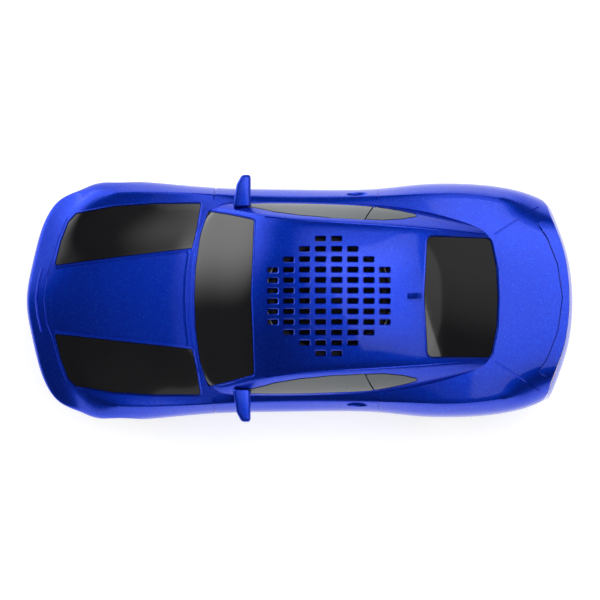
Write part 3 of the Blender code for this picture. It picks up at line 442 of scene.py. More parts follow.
def lower_cage(name, inset=0.0, levels=FINE):
    """The body below the waist, as a closed cage on the +Y side, mirrored and subdivided."""
    bm = bmesh.new()
    shrink = Vector((1 - inset / HALF_LENGTH, 1 - inset / HALF_WIDTH))

    def vert(x, y, z, drop):
        return bm.verts.new((x * shrink.x, y * shrink.y, z - drop))

    top = []
    for x, bows, ys, zs in LOWER_STATIONS:
        top.append([vert(x - bow, y, z, inset) for bow, y, z in zip(bows, ys, zs)])
    rim = top[0] + [row[-1] for row in top[1:-1]] + top[-1][::-1]
    nose_count = len(top[0])
    tail_start = len(rim) - nose_count
    walls = [rim]
    rows_here = []
    for i in range(len(rim)):
        if i < nose_count:
            rows_here.append(blend_rows(NOSE_ROWS, FLANK_ROWS, max(0, i - nose_count + 2) * 0.5))
        elif i >= tail_start:
            rows_here.append(blend_rows(TAIL_ROWS, FLANK_ROWS, max(0, tail_start + 1 - i) * 0.5))
        else:
            rows_here.append(FLANK_ROWS)
    for k in range(len(FLANK_ROWS)):
        ring = []
        for i, v in enumerate(rim):
            here = v.co
            before = rim[max(i - 1, 0)].co
            after = rim[min(i + 1, len(rim) - 1)].co
            along = Vector((after.x - before.x, after.y - before.y))
            if i in (0, len(rim) - 1):
                along = Vector((0.0, -1.0 if i else 1.0))
            outward = Vector((along.y, -along.x)).normalized()
            out, z = rows_here[i][k]
            floor = z if k < len(FLANK_ROWS) - 1 or not inset else z - 4.0
            y = 0.0 if i in (0, len(rim) - 1) else here.y + outward.y * out
            ring.append(bm.verts.new((here.x + outward.x * out, y, floor)))
        walls.append(ring)
    close_cage(bm, top, walls)
    creases = [(top[0], NOSE_CREASE), ([row[-2] for row in top[3:-2]], SHOULDER_CREASE),
               ([row[1] for row in top[2:7]], DOME_CREASE), (top[-1], TAIL_CREASE), (walls[-1], 1.0)]
    return finish_cage(name, bm, creases, levels)


# Stations of the roof: (x, y, z) at the centre, halfway and at the rail, then the flank rows.
ROOF_STATIONS = [
    [(40.2, 0.0, 38.2), (39.0, 15.0, 37.9), (33.2, 31.6, 37.1)],
    [(27.5, 0.0, 45.2), (26.6, 14.6, 44.7), (24.4, 30.2, 42.2)],
    [(16.4, 0.0, 52.6), (15.9, 13.8, 52.0), (14.4, 27.8, 49.4)],
    [(4.0, 0.0, 56.3), (4.0, 13.4, 55.6), (3.0, 26.2, 52.4)],
    [(-10.0, 0.0, 57.3), (-10.0, 13.2, 56.6), (-10.0, 25.4, 53.2)],
    [(-27.0, 0.0, 56.4), (-27.0, 13.0, 55.7), (-27.0, 24.4, 52.6)],
    [(-42.0, 0.0, 53.6), (-42.2, 12.4, 53.1), (-42.8, 23.4, 50.9)],
    [(-55.0, 0.0, 49.0), (-55.0, 11.8, 48.7), (-55.0, 22.3, 47.2)],
    [(-71.5, 0.0, 42.0), (-71.0, 11.2, 41.9), (-69.4, 21.4, 41.4)],
]
GLASS_ROWS = [
    [(32.0, 32.6, 35.4), (26.0, 31.9, 40.4), (14.4, 31.0, 44.6), (2.0, 29.8, 46.4), (-11.0, 29.4, 46.8),
     (-28.0, 28.8, 46.8), (-44.0, 27.0, 46.6), (-57.0, 24.4, 44.9), (-70.4, 21.8, 41.0)],
    [(32.0, 33.4, 35.0), (25.0, 33.5, 38.2), (13.0, 33.6, 39.2), (0.0, 33.5, 39.4), (-13.0, 33.2, 39.6),
     (-29.0, 32.6, 40.4), (-46.0, 30.2, 41.6), (-59.0, 26.0, 42.6), (-71.0, 22.2, 40.4)],
    [(32.0, 33.8, 33.0), (24.0, 34.2, 34.0), (12.0, 34.4, 34.0), (0.0, 34.3, 34.0), (-13.0, 34.0, 34.0),
     (-29.0, 33.4, 34.0), (-47.0, 31.2, 34.0), (-60.0, 27.2, 34.0), (-71.2, 22.8, 34.0)],
]
RAIL_CREASE = 0.45


def roof_cage(name, inset=0.0, levels=FINE):
    """Windscreen, roof, rear window and pillars as one closed cage that ends inside the body."""
    bm = bmesh.new()
    middle_x = -16.0

    def vert(point, drop=1.0):
        x, y, z = point
        return bm.verts.new((middle_x + (x - middle_x) * (1 - inset / 55.0), y * (1 - inset / 30.0),
                             z - inset * drop))

    top = [[vert(p) for p in row] for row in ROOF_STATIONS]
    walls = [top[0] + [row[-1] for row in top[1:-1]] + top[-1][::-1]]
    for k, row in enumerate(GLASS_ROWS):
        front = [(p[0] + 0.4, p[1], row[0][2]) for p in ROOF_STATIONS[0][:-1]]
        back = [(p[0] - 0.3, p[1], row[-1][2]) for p in ROOF_STATIONS[-1][:-1]]
        points = front + row + back[::-1]
        drop = 1.0 if k < 2 else 2.0
        walls.append([vert(p, drop) for p in points])
    close_cage(bm, top, walls)
    return finish_cage(name, bm, [([row[-1] for row in top], RAIL_CREASE)], levels)


# ---- materials ----
def shader_of(name):
    mat = bpy.data.materials.new(name)
    mat.use_nodes = True
    tree = mat.node_tree
    shader = tree.nodes["Principled BSDF"]
    coords = tree.nodes.new("ShaderNodeTexCoord")
    return mat, tree, shader, coords.outputs["Object"]


def texture(tree, kind, coords, scale, stretch=None, **settings):
    """A texture node on object coordinates, stretched along an axis where asked."""
    node = tree.nodes.new(kind)
    node.inputs["Scale"].default_value = scale
    for key, value in settings.items():
        node.inputs[key].default_value = value
    if stretch:
        mapping = tree.nodes.new("ShaderNodeMapping")
        mapping.inputs["Scale"].default_value = stretch
        tree.links.new(coords, mapping.inputs["Vector"])
        coords = mapping.outputs["Vector"]
    tree.links.new(coords, node.inputs["Vector"])
    return node


def ramp(tree, source, stops):
    """Colours along a 0 to 1 value."""
    node = tree.nodes.new("ShaderNodeValToRGB")
    elements = node.color_ramp.elements
    while len(elements) < len(stops):
        elements.new(0.5)
    for element, (place, colour) in zip(elements, stops):
        element.position = place
        element.color = (*colour, 1.0)
    tree.links.new(source, node.inputs["Fac"])
    return node.outputs["Color"]


def ranged(tree, source, low, high):
    node = tree.nodes.new("ShaderNodeMapRange")
    node.inputs["To Min"].default_value = low
    node.inputs["To Max"].default_value = high
    tree.links.new(source, node.inputs["Value"])
    return node.outputs["Result"]


def bumped(tree, shader, height, strength, distance):
    node = tree.nodes.new("ShaderNodeBump")
    node.inputs["Strength"].default_value = strength
    node.inputs["Distance"].default_value = distance
    tree.links.new(height, node.inputs["Height"])
    tree.links.new(node.outputs["Normal"], shader.inputs["Normal"])
    return node


def toned(tree, shader, pattern, dark, light, smoothest, roughest):
    """Colour and roughness that follow one pattern."""
    value = pattern.outputs["Fac"]
    tree.links.new(ramp(tree, value, [dark, light]), shader.inputs["Base Color"])
    tree.links.new(ranged(tree, value, smoothest, roughest), shader.inputs["Roughness"])


def coated(shader, weight, roughness, ior=1.5):
    shader.inputs["Coat Weight"].default_value = weight
    shader.inputs["Coat Roughness"].default_value = roughness
    shader.inputs["Coat IOR"].default_value = ior


def paint(name, deep, mid, flake):
    """Metallic paint: dark pigment, fine bright flakes and a clear coat with a little orange peel."""
    mat, tree, shader, coords = shader_of(name)
    cells = texture(tree, "ShaderNodeTexVoronoi", coords, FLAKE_SCALE)
    split = tree.nodes.new("ShaderNodeSeparateColor")
    tree.links.new(cells.outputs["Color"], split.inputs["Color"])
    cloud = texture(tree, "ShaderNodeTexNoise", coords, 45.0, Detail=3.0)
    flakes = ramp(tree, split.outputs["Red"], [(0.0, deep), (0.5, mid), (0.9, mid), (1.0, flake)])
    tint = ramp(tree, cloud.outputs["Fac"], [(0.3, (0.94, 0.94, 0.94)), (0.7, (1.0, 1.0, 1.0))])
    mix = tree.nodes.new("ShaderNodeMix")
    mix.data_type = "RGBA"
    mix.blend_type = "MULTIPLY"
    mix.inputs["Factor"].default_value = 1.0
    tree.links.new(flakes, mix.inputs[6])
    tree.links.new(tint, mix.inputs[7])
    tree.links.new(mix.outputs[2], shader.inputs["Base Color"])
    tree.links.new(ranged(tree, split.outputs["Green"], 0.34, 0.44), shader.inputs["Roughness"])
    shader.inputs["Metallic"].default_value = PAINT_METALLIC
    coated(shader, 1.0, PAINT_COAT_ROUGHNESS, PAINT_COAT_IOR)
    grain = texture(tree, "ShaderNodeTexNoise", coords, 2600.0, Detail=1.0)
    bumped(tree, shader, grain.outputs["Fac"], 0.06, 0.00002)
    return mat


def plastic(name, colour, darker, roughness, bump=0.1, grain=1800.0, metallic=0.0, coat=0.0, spread=0.06,
            ior=1.5):
    """Moulded plastic, rubber or paper: two tones, uneven gloss and a fine surface grain."""
    mat, tree, shader, coords = shader_of(name)
    cloud = texture(tree, "ShaderNodeTexNoise", coords, 90.0, Detail=4.0)
    fine = texture(tree, "ShaderNodeTexNoise", coords, grain, Detail=3.0)
    toned(tree, shader, cloud, (0.3, darker), (0.7, colour), roughness - spread / 2, roughness + spread / 2)
    shader.inputs["Metallic"].default_value = metallic
    if coat:
        coated(shader, coat, 0.04, ior)
    bumped(tree, shader, fine.outputs["Fac"], bump, 0.00005)
    return mat


def brushed(name, colour, darker, roughness, stretch, metallic=1.0, bump=0.15):
    """Metal with fine drawn or turned lines."""
    mat, tree, shader, coords = shader_of(name)
    lines = texture(tree, "ShaderNodeTexNoise", coords, 500.0, stretch, Detail=3.0)
    toned(tree, shader, lines, (0.3, darker), (0.7, colour), roughness - 0.06, roughness + 0.08)
    shader.inputs["Metallic"].default_value = metallic
    bumped(tree, shader, lines.outputs["Fac"], bump, 0.00003)
    return mat


def lamp_lens(name, colour, darker, pitch, transmission):
    """Lamp plastic with moulded vertical flutes behind a smooth face."""
    mat, tree, shader, coords = shader_of(name)
    flutes = texture(tree, "ShaderNodeTexWave", coords, pitch, Distortion=0.0)
    flutes.bands_direction = "Y"
    toned(tree, shader, flutes, (0.1, darker), (0.9, colour), 0.06, 0.12)
    shader.inputs["Transmission Weight"].default_value = transmission
    coated(shader, 1.0, 0.03)
    bumped(tree, shader, flutes.outputs["Fac"], 0.25, 0.0002)
    return mat


FLAKE_SCALE = 6500.0      # flakes per metre
PAINT_METALLIC = 0.96
PAINT_COAT_ROUGHNESS = 0.06
PAINT_COAT_IOR = 1.32
PAINT = paint("paint_blue", (0.0004, 0.028, 0.52), (0.0006, 0.040, 0.68), (0.008, 0.15, 0.92))
GLOSS = plastic("gloss_black", (0.006, 0.006, 0.007), (0.004, 0.004, 0.005), 0.10, 0.02, 900.0, coat=1.0,
                spread=0.03, ior=1.55)
WINDOW = plastic("window_grey", (0.040, 0.058, 0.068), (0.032, 0.047, 0.056), 0.12, 0.02, 900.0, coat=0.6,
                 spread=0.03)
MATTE = plastic("matte_black", (0.026, 0.026, 0.028), (0.016, 0.016, 0.018), 0.52, 0.5, 2400.0)
CLEAR = lamp_lens("clear_lamp", (0.86, 0.89, 0.92), (0.70, 0.74, 0.78), 260.0, 0.75)
RED = lamp_lens("red_lamp", (0.50, 0.010, 0.008), (0.30, 0.004, 0.004), 260.0, 0.2)
RIM = brushed("rim_silver", (0.66, 0.67, 0.69), (0.55, 0.56, 0.58), 0.26, (1, 0.2, 1), 0.9)
TYRE = plastic("tyre_rubber", (0.022, 0.022, 0.023), (0.014, 0.014, 0.015), 0.74, 0.6, 1600.0)
STEEL = brushed("axle_steel", (0.60, 0.60, 0.61), (0.46, 0.46, 0.47), 0.28, (1, 0.1, 1))
BASKET = brushed("basket_steel", (0.36, 0.37, 0.38), (0.26, 0.27, 0.28), 0.42, (1, 1, 0.2), 0.85)
CONE = plastic("cone_paper", (0.022, 0.022, 0.024), (0.012, 0.012, 0.013), 0.82, 0.9, 1200.0)
SURROUND = plastic("surround_rubber", (0.016, 0.016, 0.017), (0.010, 0.010, 0.011), 0.6, 0.3, 2200.0)
SPIDER = plastic("spider_cloth", (0.42, 0.33, 0.20), (0.30, 0.23, 0.13), 0.85, 0.9, 2500.0)
FERRITE = plastic("magnet_ferrite", (0.07, 0.072, 0.076), (0.045, 0.046, 0.05), 0.5, 0.5, 1200.0, 0.3)
BOARD = plastic("board_green", (0.014, 0.16, 0.06), (0.008, 0.10, 0.035), 0.38, 0.25, 700.0)
WRAP = plastic("battery_wrap", (0.42, 0.44, 0.46), (0.33, 0.35, 0.37), 0.33, 0.4, 500.0)
BUTTON = plastic("button_rubber", (0.066, 0.068, 0.072), (0.050, 0.052, 0.055), 0.56, 0.3, 2600.0)
SYMBOL = plastic("symbol_white", (0.78, 0.78, 0.78), (0.70, 0.70, 0.70), 0.5, 0.1, 2600.0)
LEAD = plastic("lead_red", (0.48, 0.016, 0.012), (0.36, 0.010, 0.008), 0.42, 0.2, 1500.0)
SILVER_GLASS = brushed("mirror_glass", (0.82, 0.84, 0.86), (0.76, 0.78, 0.80), 0.05, (1, 1, 1), 1.0, 0.01)


# ---- outlines set into the body, left side where there are two (mm) ----
BONNET_PANEL = [(84.8, 11.8), (82.7, 20.4), (80.2, 27.0), (77.4, 29.9), (63.9, 32.2), (50.1, 33.0),
                (34.0, 33.0), (35.6, 23.5), (37.0, 17.3), (56.7, 15.1)]
WINDSCREEN = [(36.3, 0.0), (35.9, 10.5), (34.4, 21.7), (31.6, 30.2), (24.0, 28.6), (15.6, 26.4),
              (16.1, 12.0), (16.6, 0.0)]
REAR_WINDOW = [(-42.0, 0.0), (-43.2, 20.6), (-65.2, 20.4), (-67.3, 10.0), (-67.7, 0.0)]
DOOR_WINDOW = [(21.6, 40.5), (17.5, 42.9), (8.6, 47.3), (0.0, 49.5), (-10.0, 50.6), (-22.1, 50.5),
               (-25.5, 41.2), (0.0, 40.4)]
QUARTER_WINDOW = [(-22.0, 50.4), (-28.5, 49.9), (-35.0, 48.2), (-40.2, 45.8), (-39.6, 44.6), (-25.4, 41.6)]
SPOILER = [(-89.6, 0.0), (-88.0, 11.4), (-84.5, 20.6), (-81.3, 25.6), (-85.6, 27.6), (-87.6, 24.2),
           (-90.4, 15.6), (-91.7, 8.0), (-92.1, 0.0)]
HEADLAMP = [(20.0, 27.0), (31.5, 26.2), (34.4, 22.4), (20.6, 21.2)]
TAIL_LAMP = [(12.0, 39.0), (30.0, 37.0), (31.2, 31.6), (12.0, 32.0)]
UPPER_GRILLE = [(18.6, 26.9), (18.2, 20.6), (-18.2, 20.6), (-18.6, 26.9)]
LOWER_GRILLE = [(24.0, 17.0), (20.0, 10.2), (-20.0, 10.2), (-24.0, 17.0)]
DIFFUSER = [(20.0, 14.6), (17.0, 8.4), (-17.0, 8.4), (-20.0, 14.6)]
MIRROR = [(16.9, 31.0), (16.9, 42.4), (20.0, 42.4), (21.8, 39.0), (23.1, 31.0)]
MIRROR_Z = (38.6, 43.4)
FRONT_AXLE_X = 61.0
REAR_AXLE_X = -52.0
WHEEL_R = 14.2
ARCH_R = 16.4
DRIVER_X = -9.7
DRIVER_R = 24.0
RING_Z = 49.6
FLANGE_Z = 47.0
SLOT = (3.55, 1.70)       # straight part of a slot
SLOT_PITCH = (5.42, 3.53)
SLOT_FIELD_R = 21.8
SLOT_ROW_COUNTS = (2, 4, 6, 8, 8, 8, 8, 8, 8, 6, 4, 2)
SLOT_FLARE = 0.30
SHUT_R = 0.32             # radius of the shut lines
GLASS_SPAN = (30, 66)     # heights between which the windscreen and rear window are cut
WINDOW_GROOVE_R = 0.3     # groove round a side window
BEAD_R = 0.34             # raised edge round a panel: radius, distance out and depth
BEAD_OUT = 0.34
BEAD_SINK = 0.14
SIDES = ((1, "left"), (-1, "right"))


# ---- body ----
def surfaces(label, build):
    """The finished outside of a cage, and the two surfaces under it that panels rest on."""
    outer = settle(build(f"{label}_outer", 0.0, FINE))
    back = settle(build(f"{label}_back", PANEL_THICK, COARSE))
    floor = settle(build(f"{label}_floor", RECESS, COARSE))
    return outer, back, floor, Surface(outer)


def slot_cutters(surface):
    """Grille slots with small chamfers that follow the roof."""
    bm = bmesh.new()
    rows = len(SLOT_ROW_COUNTS)
    half = (SLOT[0] / 2, SLOT[1] / 2)
    corners = [(half[0], half[1]), (-half[0], half[1]), (-half[0], -half[1]), (half[0], -half[1])]
    outline = rounded(corners, 0.35, 2)
    for r, count in enumerate(SLOT_ROW_COUNTS):
        y = (r - (rows - 1) / 2) * SLOT_PITCH[1]
        for c in range(count):
            x = DRIVER_X + (c - (count - 1) / 2) * SLOT_PITCH[0]
            rings = [[], [], []]
            for (u, v), (fu, fv) in zip(outline, grown(outline, 1.0 + SLOT_FLARE)):
                top = surface.at(x + u, y + v, "Z")[0].z
                rings[0].append(bm.verts.new((x + u, y + v, 46.0)))
                rings[1].append(bm.verts.new((x + u, y + v, top - SLOT_FLARE)))
                rings[2].append(bm.verts.new((x + fu, y + fv, top + 1.0)))
            bm.faces.new(rings[0][::-1])
            bm.faces.new(rings[2])
            for low, high in zip(rings, rings[1:]):
                for i in range(len(outline)):
                    j = (i + 1) % len(outline)
                    bm.faces.new((low[i], low[j], high[j], high[i]))
    return add_mesh("slots", bm)


def fit_panel(name, outline, axis, span, skins, view, line=GROOVE_R, bead=False):
    """Cut a recess into the body and return the panel that fills it, with a groove round it."""
    outer, back, floor, surface = skins
    if bead:
        path = WHOLE.lay(grown(outline, BEAD_OUT), view)
        path = [p - Vector((0.0, 0.0, BEAD_SINK)) for p in path]
        carve(SHELL, tube(f"{name}_bead", path, BEAD_R), "UNION")
    recess = prism(f"{name}_recess", outline, axis, *span)
    carve(recess, floor, keep=True)
    carve(SHELL, recess)
    panel = prism(name, grown(outline, -GAP), axis, span[0] + GAP, span[1] - GAP)
    carve(panel, outer, "INTERSECT", keep=True)
    carve(panel, back, keep=True)
    groove = tube(f"{name}_line", surface.lay(outline, view), line)
    carve(SHELL, groove, keep=True)
    carve(panel, groove)
    return panel


def line_on(parts):
    """A run of points over the body: (outline, direction) pieces joined end to end."""
    points = []
    for outline, view in parts:
        points += WHOLE.lay(outline, view, False)
    return points


def hand(side, outline):
    """A left-hand outline seen from above, for either side."""
    return outline if side > 0 else mirrored(outline)


def swap(side, outline):
    """A left-hand outline seen from the nose or tail, for either side."""
    return [(side * u, v) for u, v in outline]


LOW = surfaces("lower", lower_cage)
TOP = surfaces("roof", roof_cage)
WHOLE = Surface(LOW[0], TOP[0])
SHELL = copy_of(LOW[0], "body_paint")
carve(SHELL, TOP[0], "UNION", keep=True)
carve(SHELL, settle(lower_cage("lower_cavity", LOWER_WALL, COARSE)))
carve(SHELL, settle(roof_cage("roof_cavity", WALL, COARSE)))
ring = turned("roof_ring", [(DRIVER_R, 56.0), (DRIVER_R, RING_Z), (SLOT_FIELD_R + 0.4, RING_Z),
                            (SLOT_FIELD_R + 0.4, 56.0)], (DRIVER_X, 0, 0))
carve(ring, settle(roof_cage("ring_limit", 1.0, COARSE)), "INTERSECT")
carve(SHELL, ring, "UNION")
for axle_x in (FRONT_AXLE_X, REAR_AXLE_X):
    for side, label in SIDES:
        carve(SHELL, cylinder("arch", (axle_x, side * 40.0, WHEEL_R), ARCH_R, 26.0, "Y", 96))
carve(SHELL, slot_cutters(TOP[3]))

PANELS = {}


def fit_all(table):
    """Fit panels given as (name, outline, corner radius, and what fit_panel needs)."""
    for name, outline, radius, *place in table:
        PANELS[name] = fit_panel(name, rounded(outline, radius), *place)


fit_all((("windscreen", symmetric(WINDSCREEN), 1.0, "Z", GLASS_SPAN, TOP, "Z", GROOVE_R, True),
         ("rear_window", symmetric(REAR_WINDOW), 2.2, "Z", GLASS_SPAN, TOP, "Z", GROOVE_R, True),
         ("upper_grille", UPPER_GRILLE, 1.2, "X", (80, 99), LOW, "+X"),
         ("lower_grille", LOWER_GRILLE, 1.2, "X", (80, 99), LOW, "+X"),
         ("diffuser", DIFFUSER, 1.2, "X", (-99, -80), LOW, "-X")))
for side, label in SIDES:
    flank = (23.0, 45.0) if side > 0 else (-45.0, -23.0)
    view = "+Y" if side > 0 else "-Y"
    fit_all(((f"bonnet_{label}", hand(side, BONNET_PANEL), 0.9, "Z", (20, 50), LOW, "Z", GROOVE_R, True),
             (f"door_{label}", DOOR_WINDOW, 0.8, "Y", flank, TOP, view, WINDOW_GROOVE_R),
             (f"quarter_{label}", QUARTER_WINDOW, 0.8, "Y", flank, TOP, view, WINDOW_GROOVE_R),
             (f"headlamp_{label}", swap(side, HEADLAMP), 1.4, "X", (70, 99), LOW, "+X"),
             (f"tail_lamp_{label}", swap(side, TAIL_LAMP), 1.2, "X", (-99, -78), LOW, "-X")))
raised = settle(lower_cage("raised", -1.1, FINE))
fit_all((("spoiler", symmetric(SPOILER), 1.2, "Z", (41.8, 60), (raised, *LOW[1:]), "Z", 0.1),))

# shut lines and pressed lines in the paint
LINES = {
    "bonnet_front": [([(80.6, -28.6), (83.4, -21.5), (85.8, -12.6), (87.6, -8.0), (88.6, 0.0), (87.6, 8.0),
                       (85.8, 12.6), (83.4, 21.5), (80.6, 28.6)], "Z")],
    "cowl": [([(32.6, -31.2), (36.3, -21.0), (37.9, -10.0), (38.2, 0.0), (37.9, 10.0), (36.3, 21.0),
               (32.6, 31.2)], "Z")],
}
for side, label in SIDES:
    view = "+Y" if side > 0 else "-Y"
    LINES[f"boot_{label}"] = [(hand(side, [(-66.6, 21.8), (-74.0, 26.6), (-82.0, 31.6)]), "Z")]
    rail = [(12.0, 27.3), (3.0, 26.2), (-10.0, 25.3), (-27.0, 24.3), (-42.8, 23.2), (-55.0, 22.1),
            (-63.0, 21.7)]
    LINES[f"rail_{label}"] = [(hand(side, rail), "Z")]
    LINES[f"door_{label}"] = [(hand(side, [(29.6, 34.2), (29.4, 37.6)]), "Z"),
                              ([(29.3, 33.0), (28.6, 20.0), (28.4, 10.0), (-22.0, 10.0), (-26.0, 20.0),
                                (-27.4, 33.0)], view),
                              (hand(side, [(-27.2, 37.8), (-26.6, 34.0)]), "Z")]
for label, parts in LINES.items():
    carve(SHELL, tube(f"{label}_shut", line_on(parts), SHUT_R, False))

strip_points = WHOLE.lay([(89.4, -11.0), (90.6, -6.0), (91.4, 0.0), (90.6, 6.0), (89.4, 11.0)], "Z", False)
carve(SHELL, tube("nose_strip", strip_points, 0.42, False), "UNION")
DOME_EDGE = [(84.6, 10.9), (80.0, 11.6), (70.0, 12.9), (56.7, 14.2), (46.0, 15.5), (39.0, 16.2), (38.6, 15.4),
             (39.6, 8.0), (39.9, 0.0)]
dome_points = WHOLE.lay(DOME_EDGE + mirrored(DOME_EDGE)[-2::-1], "Z", False)
dome_points = [p - Vector((0.0, 0.0, 0.22)) for p in dome_points]
carve(SHELL, tube("dome_edge", dome_points, 0.5, False), "UNION")

for side, label in SIDES:
    profile = [(0.0, 1.2), (1.3, 1.0), (2.2, 0.5), (2.6, 0.0), (2.2, -0.5), (1.3, -1.0), (0.0, -1.2)]
    hollow = turned("handle_hollow", profile, closed=False, steps=32)
    hollow.data.transform(Matrix.Diagonal((1.45, 0.62, 1.0, 1.0)))
    place, normal = WHOLE.at(-19.6, side * 36.3, "Z")
    tilt = Vector((0, 0, 1)).rotation_difference(normal).to_matrix().to_4x4()
    hollow.data.transform(Matrix.Translation(place * MM) @ tilt)
    carve(SHELL, hollow)

finish_piece(SHELL, PAINT, CAR, "body_shell", degrees=28)
PANEL_LOOKS = (
    ("windscreen", GLOSS, "windscreen_panel"), ("rear_window", GLOSS, "rear_window_panel"),
    ("bonnet", GLOSS, "bonnet_panel"), ("door", WINDOW, "door_window"), ("quarter", WINDOW, "quarter_window"),
    ("headlamp", CLEAR, "headlamp"), ("tail_lamp", RED, "tail_lamp"), ("spoiler", PAINT, "boot_lip_spoiler"),
    ("upper_grille", MATTE, "upper_grille"), ("lower_grille", MATTE, "lower_grille"),
    ("diffuser", MATTE, "rear_diffuser"),
)
for name, material, node in PANEL_LOOKS:
    for ending in ("", "_left", "_right"):
        if name + ending in PANELS:
            panel = PANELS[name + ending]
            panel.name = f"{node}{ending}_fine"
            finish_piece(panel, material, CAR, node + ending)

# ---- mirrors and aerial ----
near = (settle(lower_cage("near_low", -0.3, FINE)), settle(roof_cage("near_high", -0.3, FINE)))
for side, label in SIDES:
    mirror = prism(f"mirror_{label}_fine", hand(side, MIRROR), "Z", *MIRROR_Z)
    bevelled(mirror, 1.0, 5, 30.0)
    for cage in near:
        carve(mirror, cage, keep=True)
    corners = [(side * 34.4, 39.5), (side * 41.5, 39.5), (side * 41.5, 42.6), (side * 34.4, 42.6)]
    glass_outline = rounded(corners, 0.8)
    carve(mirror, prism("mirror_recess", glass_outline, "X", 16.0, 17.5))
    carve(mirror, tube("mirror_seam", [(17.0 + 0.3 * k, side * 42.4, 40.1) for k in range(10)], 0.15, False))
    glass = prism(f"mirror_glass_{label}", grown(glass_outline, -0.12), "X", 17.0, 17.5)
    finish_piece(mirror, PAINT, CAR, f"mirror_{label}")
    finish_piece(glass, SILVER_GLASS, CAR, None)

fin_outline = rounded([(-35.2, 53.0), (-37.4, 56.0), (-40.2, 56.9), (-41.0, 56.4), (-41.3, 53.0)], 0.4, 3)
fin = prism("roof_aerial_fine", fin_outline, "Y", -0.95, 0.95)
bevelled(fin, 0.45, 4, 30.0)
for cage in near:
    carve(fin, cage, keep=True)
finish_piece(fin, PAINT, CAR, "roof_aerial")
for cage in near:
    bpy.data.objects.remove(cage)

# ---- wheels ----
RIM_R = 10.2
TYRE_OUTER_Y = 38.9
TYRE_INNER_Y = 28.5
RIM_GAP = 0.3
AXLE_BORE_R = 1.55
RIM_FACE = TYRE_OUTER_Y - 0.9
SPOKES = 5
TREAD_BLOCKS = 30
LINER_PROFILE = [(16.8, 32.4), (16.8, 24.6), (2.4, 24.6), (2.4, 25.4), (15.6, 25.4), (16.0, 25.8),
                 (16.0, 32.4)]


def rotated(obj, angle, centre=(0.0, 0.0, 0.0), axis="Y"):
    """Turn a mesh about an axis through a point in millimetres."""
    place = Matrix.Translation(Vector(centre) * MM)
    obj.data.transform(place @ Matrix.Rotation(angle, 4, axis) @ place.inverted())
    return obj


def tyre(name, centre, facing):
    """Tyre with rounded shoulders, three round grooves and a block pattern."""
    o, i = TYRE_OUTER_Y, TYRE_INNER_Y
    r = WHEEL_R
    tread = []
    for y in (o - 2.9, (o + i) / 2, i + 2.9):
        tread += [(r, y + 0.45), (r - 0.55, y + 0.3), (r - 0.55, y - 0.3), (r, y - 0.45)]
    shoulder = arc_points((r - 1.4, o - 1.4), 1.4, 90, 0, 6)
    far_shoulder = arc_points((r - 1.4, i + 1.4), 1.4, 0, -90, 6)
    wall = [(RIM_R + 0.5, o - 0.15), (RIM_R + 1.0, o - 0.05), (RIM_R + 1.3, o - 0.3), (RIM_R + 1.7, o)]
    far_wall = [(RIM_R + 1.6, i), (RIM_R + 0.5, i), (RIM_R + RIM_GAP, i + 0.8), (RIM_R + RIM_GAP, o - 0.8)]
    obj = turned(name, wall + shoulder + tread + far_shoulder + far_wall, (0, 0, 0), 96, True, facing)
    cuts = []
    side = 1 if facing == "Y" else -1
    for k in range(TREAD_BLOCKS):
        for low, high in ((i - 1.0, i + 2.5), (o - 2.5, o + 1.0)):
            y0, y1 = sorted((side * low, side * high))
            cut = box("cut", (-0.28, y0, r - 0.45), (0.28, y1, r + 1.0))
            cuts.append(rotated(cut, math.tau * (k + (0.5 if low < i else 0.0)) / TREAD_BLOCKS))
    carve(obj, joined("sipes", cuts))
    obj.data.transform(Matrix.Translation(Vector(centre) * MM))
    return obj


def rim(name, centre, facing):
    """Five-spoke rim with a barrel, a lip, nuts and a centre cap."""
    face, i, side = RIM_FACE, TYRE_INNER_Y, 1 if facing == "Y" else -1
    profile = ([(0.0, face - 0.1), (1.6, face - 0.15), (1.9, face - 0.5), (2.1, face - 0.5),
                (2.4, face - 0.9), (3.4, face - 1.5), (RIM_R - 1.5, face - 1.3), (RIM_R - 1.1, face - 0.7)]
               + arc_points((RIM_R - 0.5, face - 0.5), 0.5, 150, 0, 5)
               + [(RIM_R, face - 1.0), (RIM_R, i + 0.9), (RIM_R - 0.8, i + 0.9), (RIM_R - 1.0, face - 2.6),
                  (3.2, face - 3.0), (3.0, face - 7.0), (AXLE_BORE_R, face - 7.0), (AXLE_BORE_R, face - 1.8),
                  (0.0, face - 1.8)])
    obj = turned(name, profile, (0, 0, 0), 80, False, facing)
    y0, y1 = sorted((side * (face - 5.0), side * (face + 1.0)))
    cuts = []
    for k in range(SPOKES):
        window = rounded([(4.0, -0.9), (RIM_R - 1.5, -3.3), (RIM_R - 1.5, 3.3), (4.0, 0.9)], 0.7, 4)
        cuts.append(rotated(prism("window", window, "Y", y0, y1), math.tau * (k + 0.5) / SPOKES))
        pocket = cylinder("pocket", (2.75, side * (face - 0.9), 0.0), 0.42, 1.0, "Y", 16)
        cuts.append(rotated(pocket, math.tau * k / SPOKES))
    for cut in cuts:
        carve(obj, cut)
    ribs = [rotated(box("rib", (4.6, y0, -0.16), (8.2, y1, 0.16)), math.tau * k / SPOKES)
            for k in range(SPOKES)]
    limit_profile = [(0.0, face - 0.95), (9.0, face - 0.95), (9.0, face + 2.0), (0.0, face + 2.0)]
    limit = turned("limit", limit_profile, (0, 0, 0), 32, False, facing)
    grooves = joined("spoke_grooves", ribs)
    carve(grooves, limit, "INTERSECT")
    carve(obj, grooves)
    obj.data.transform(Matrix.Translation(Vector(centre) * MM))
    return obj


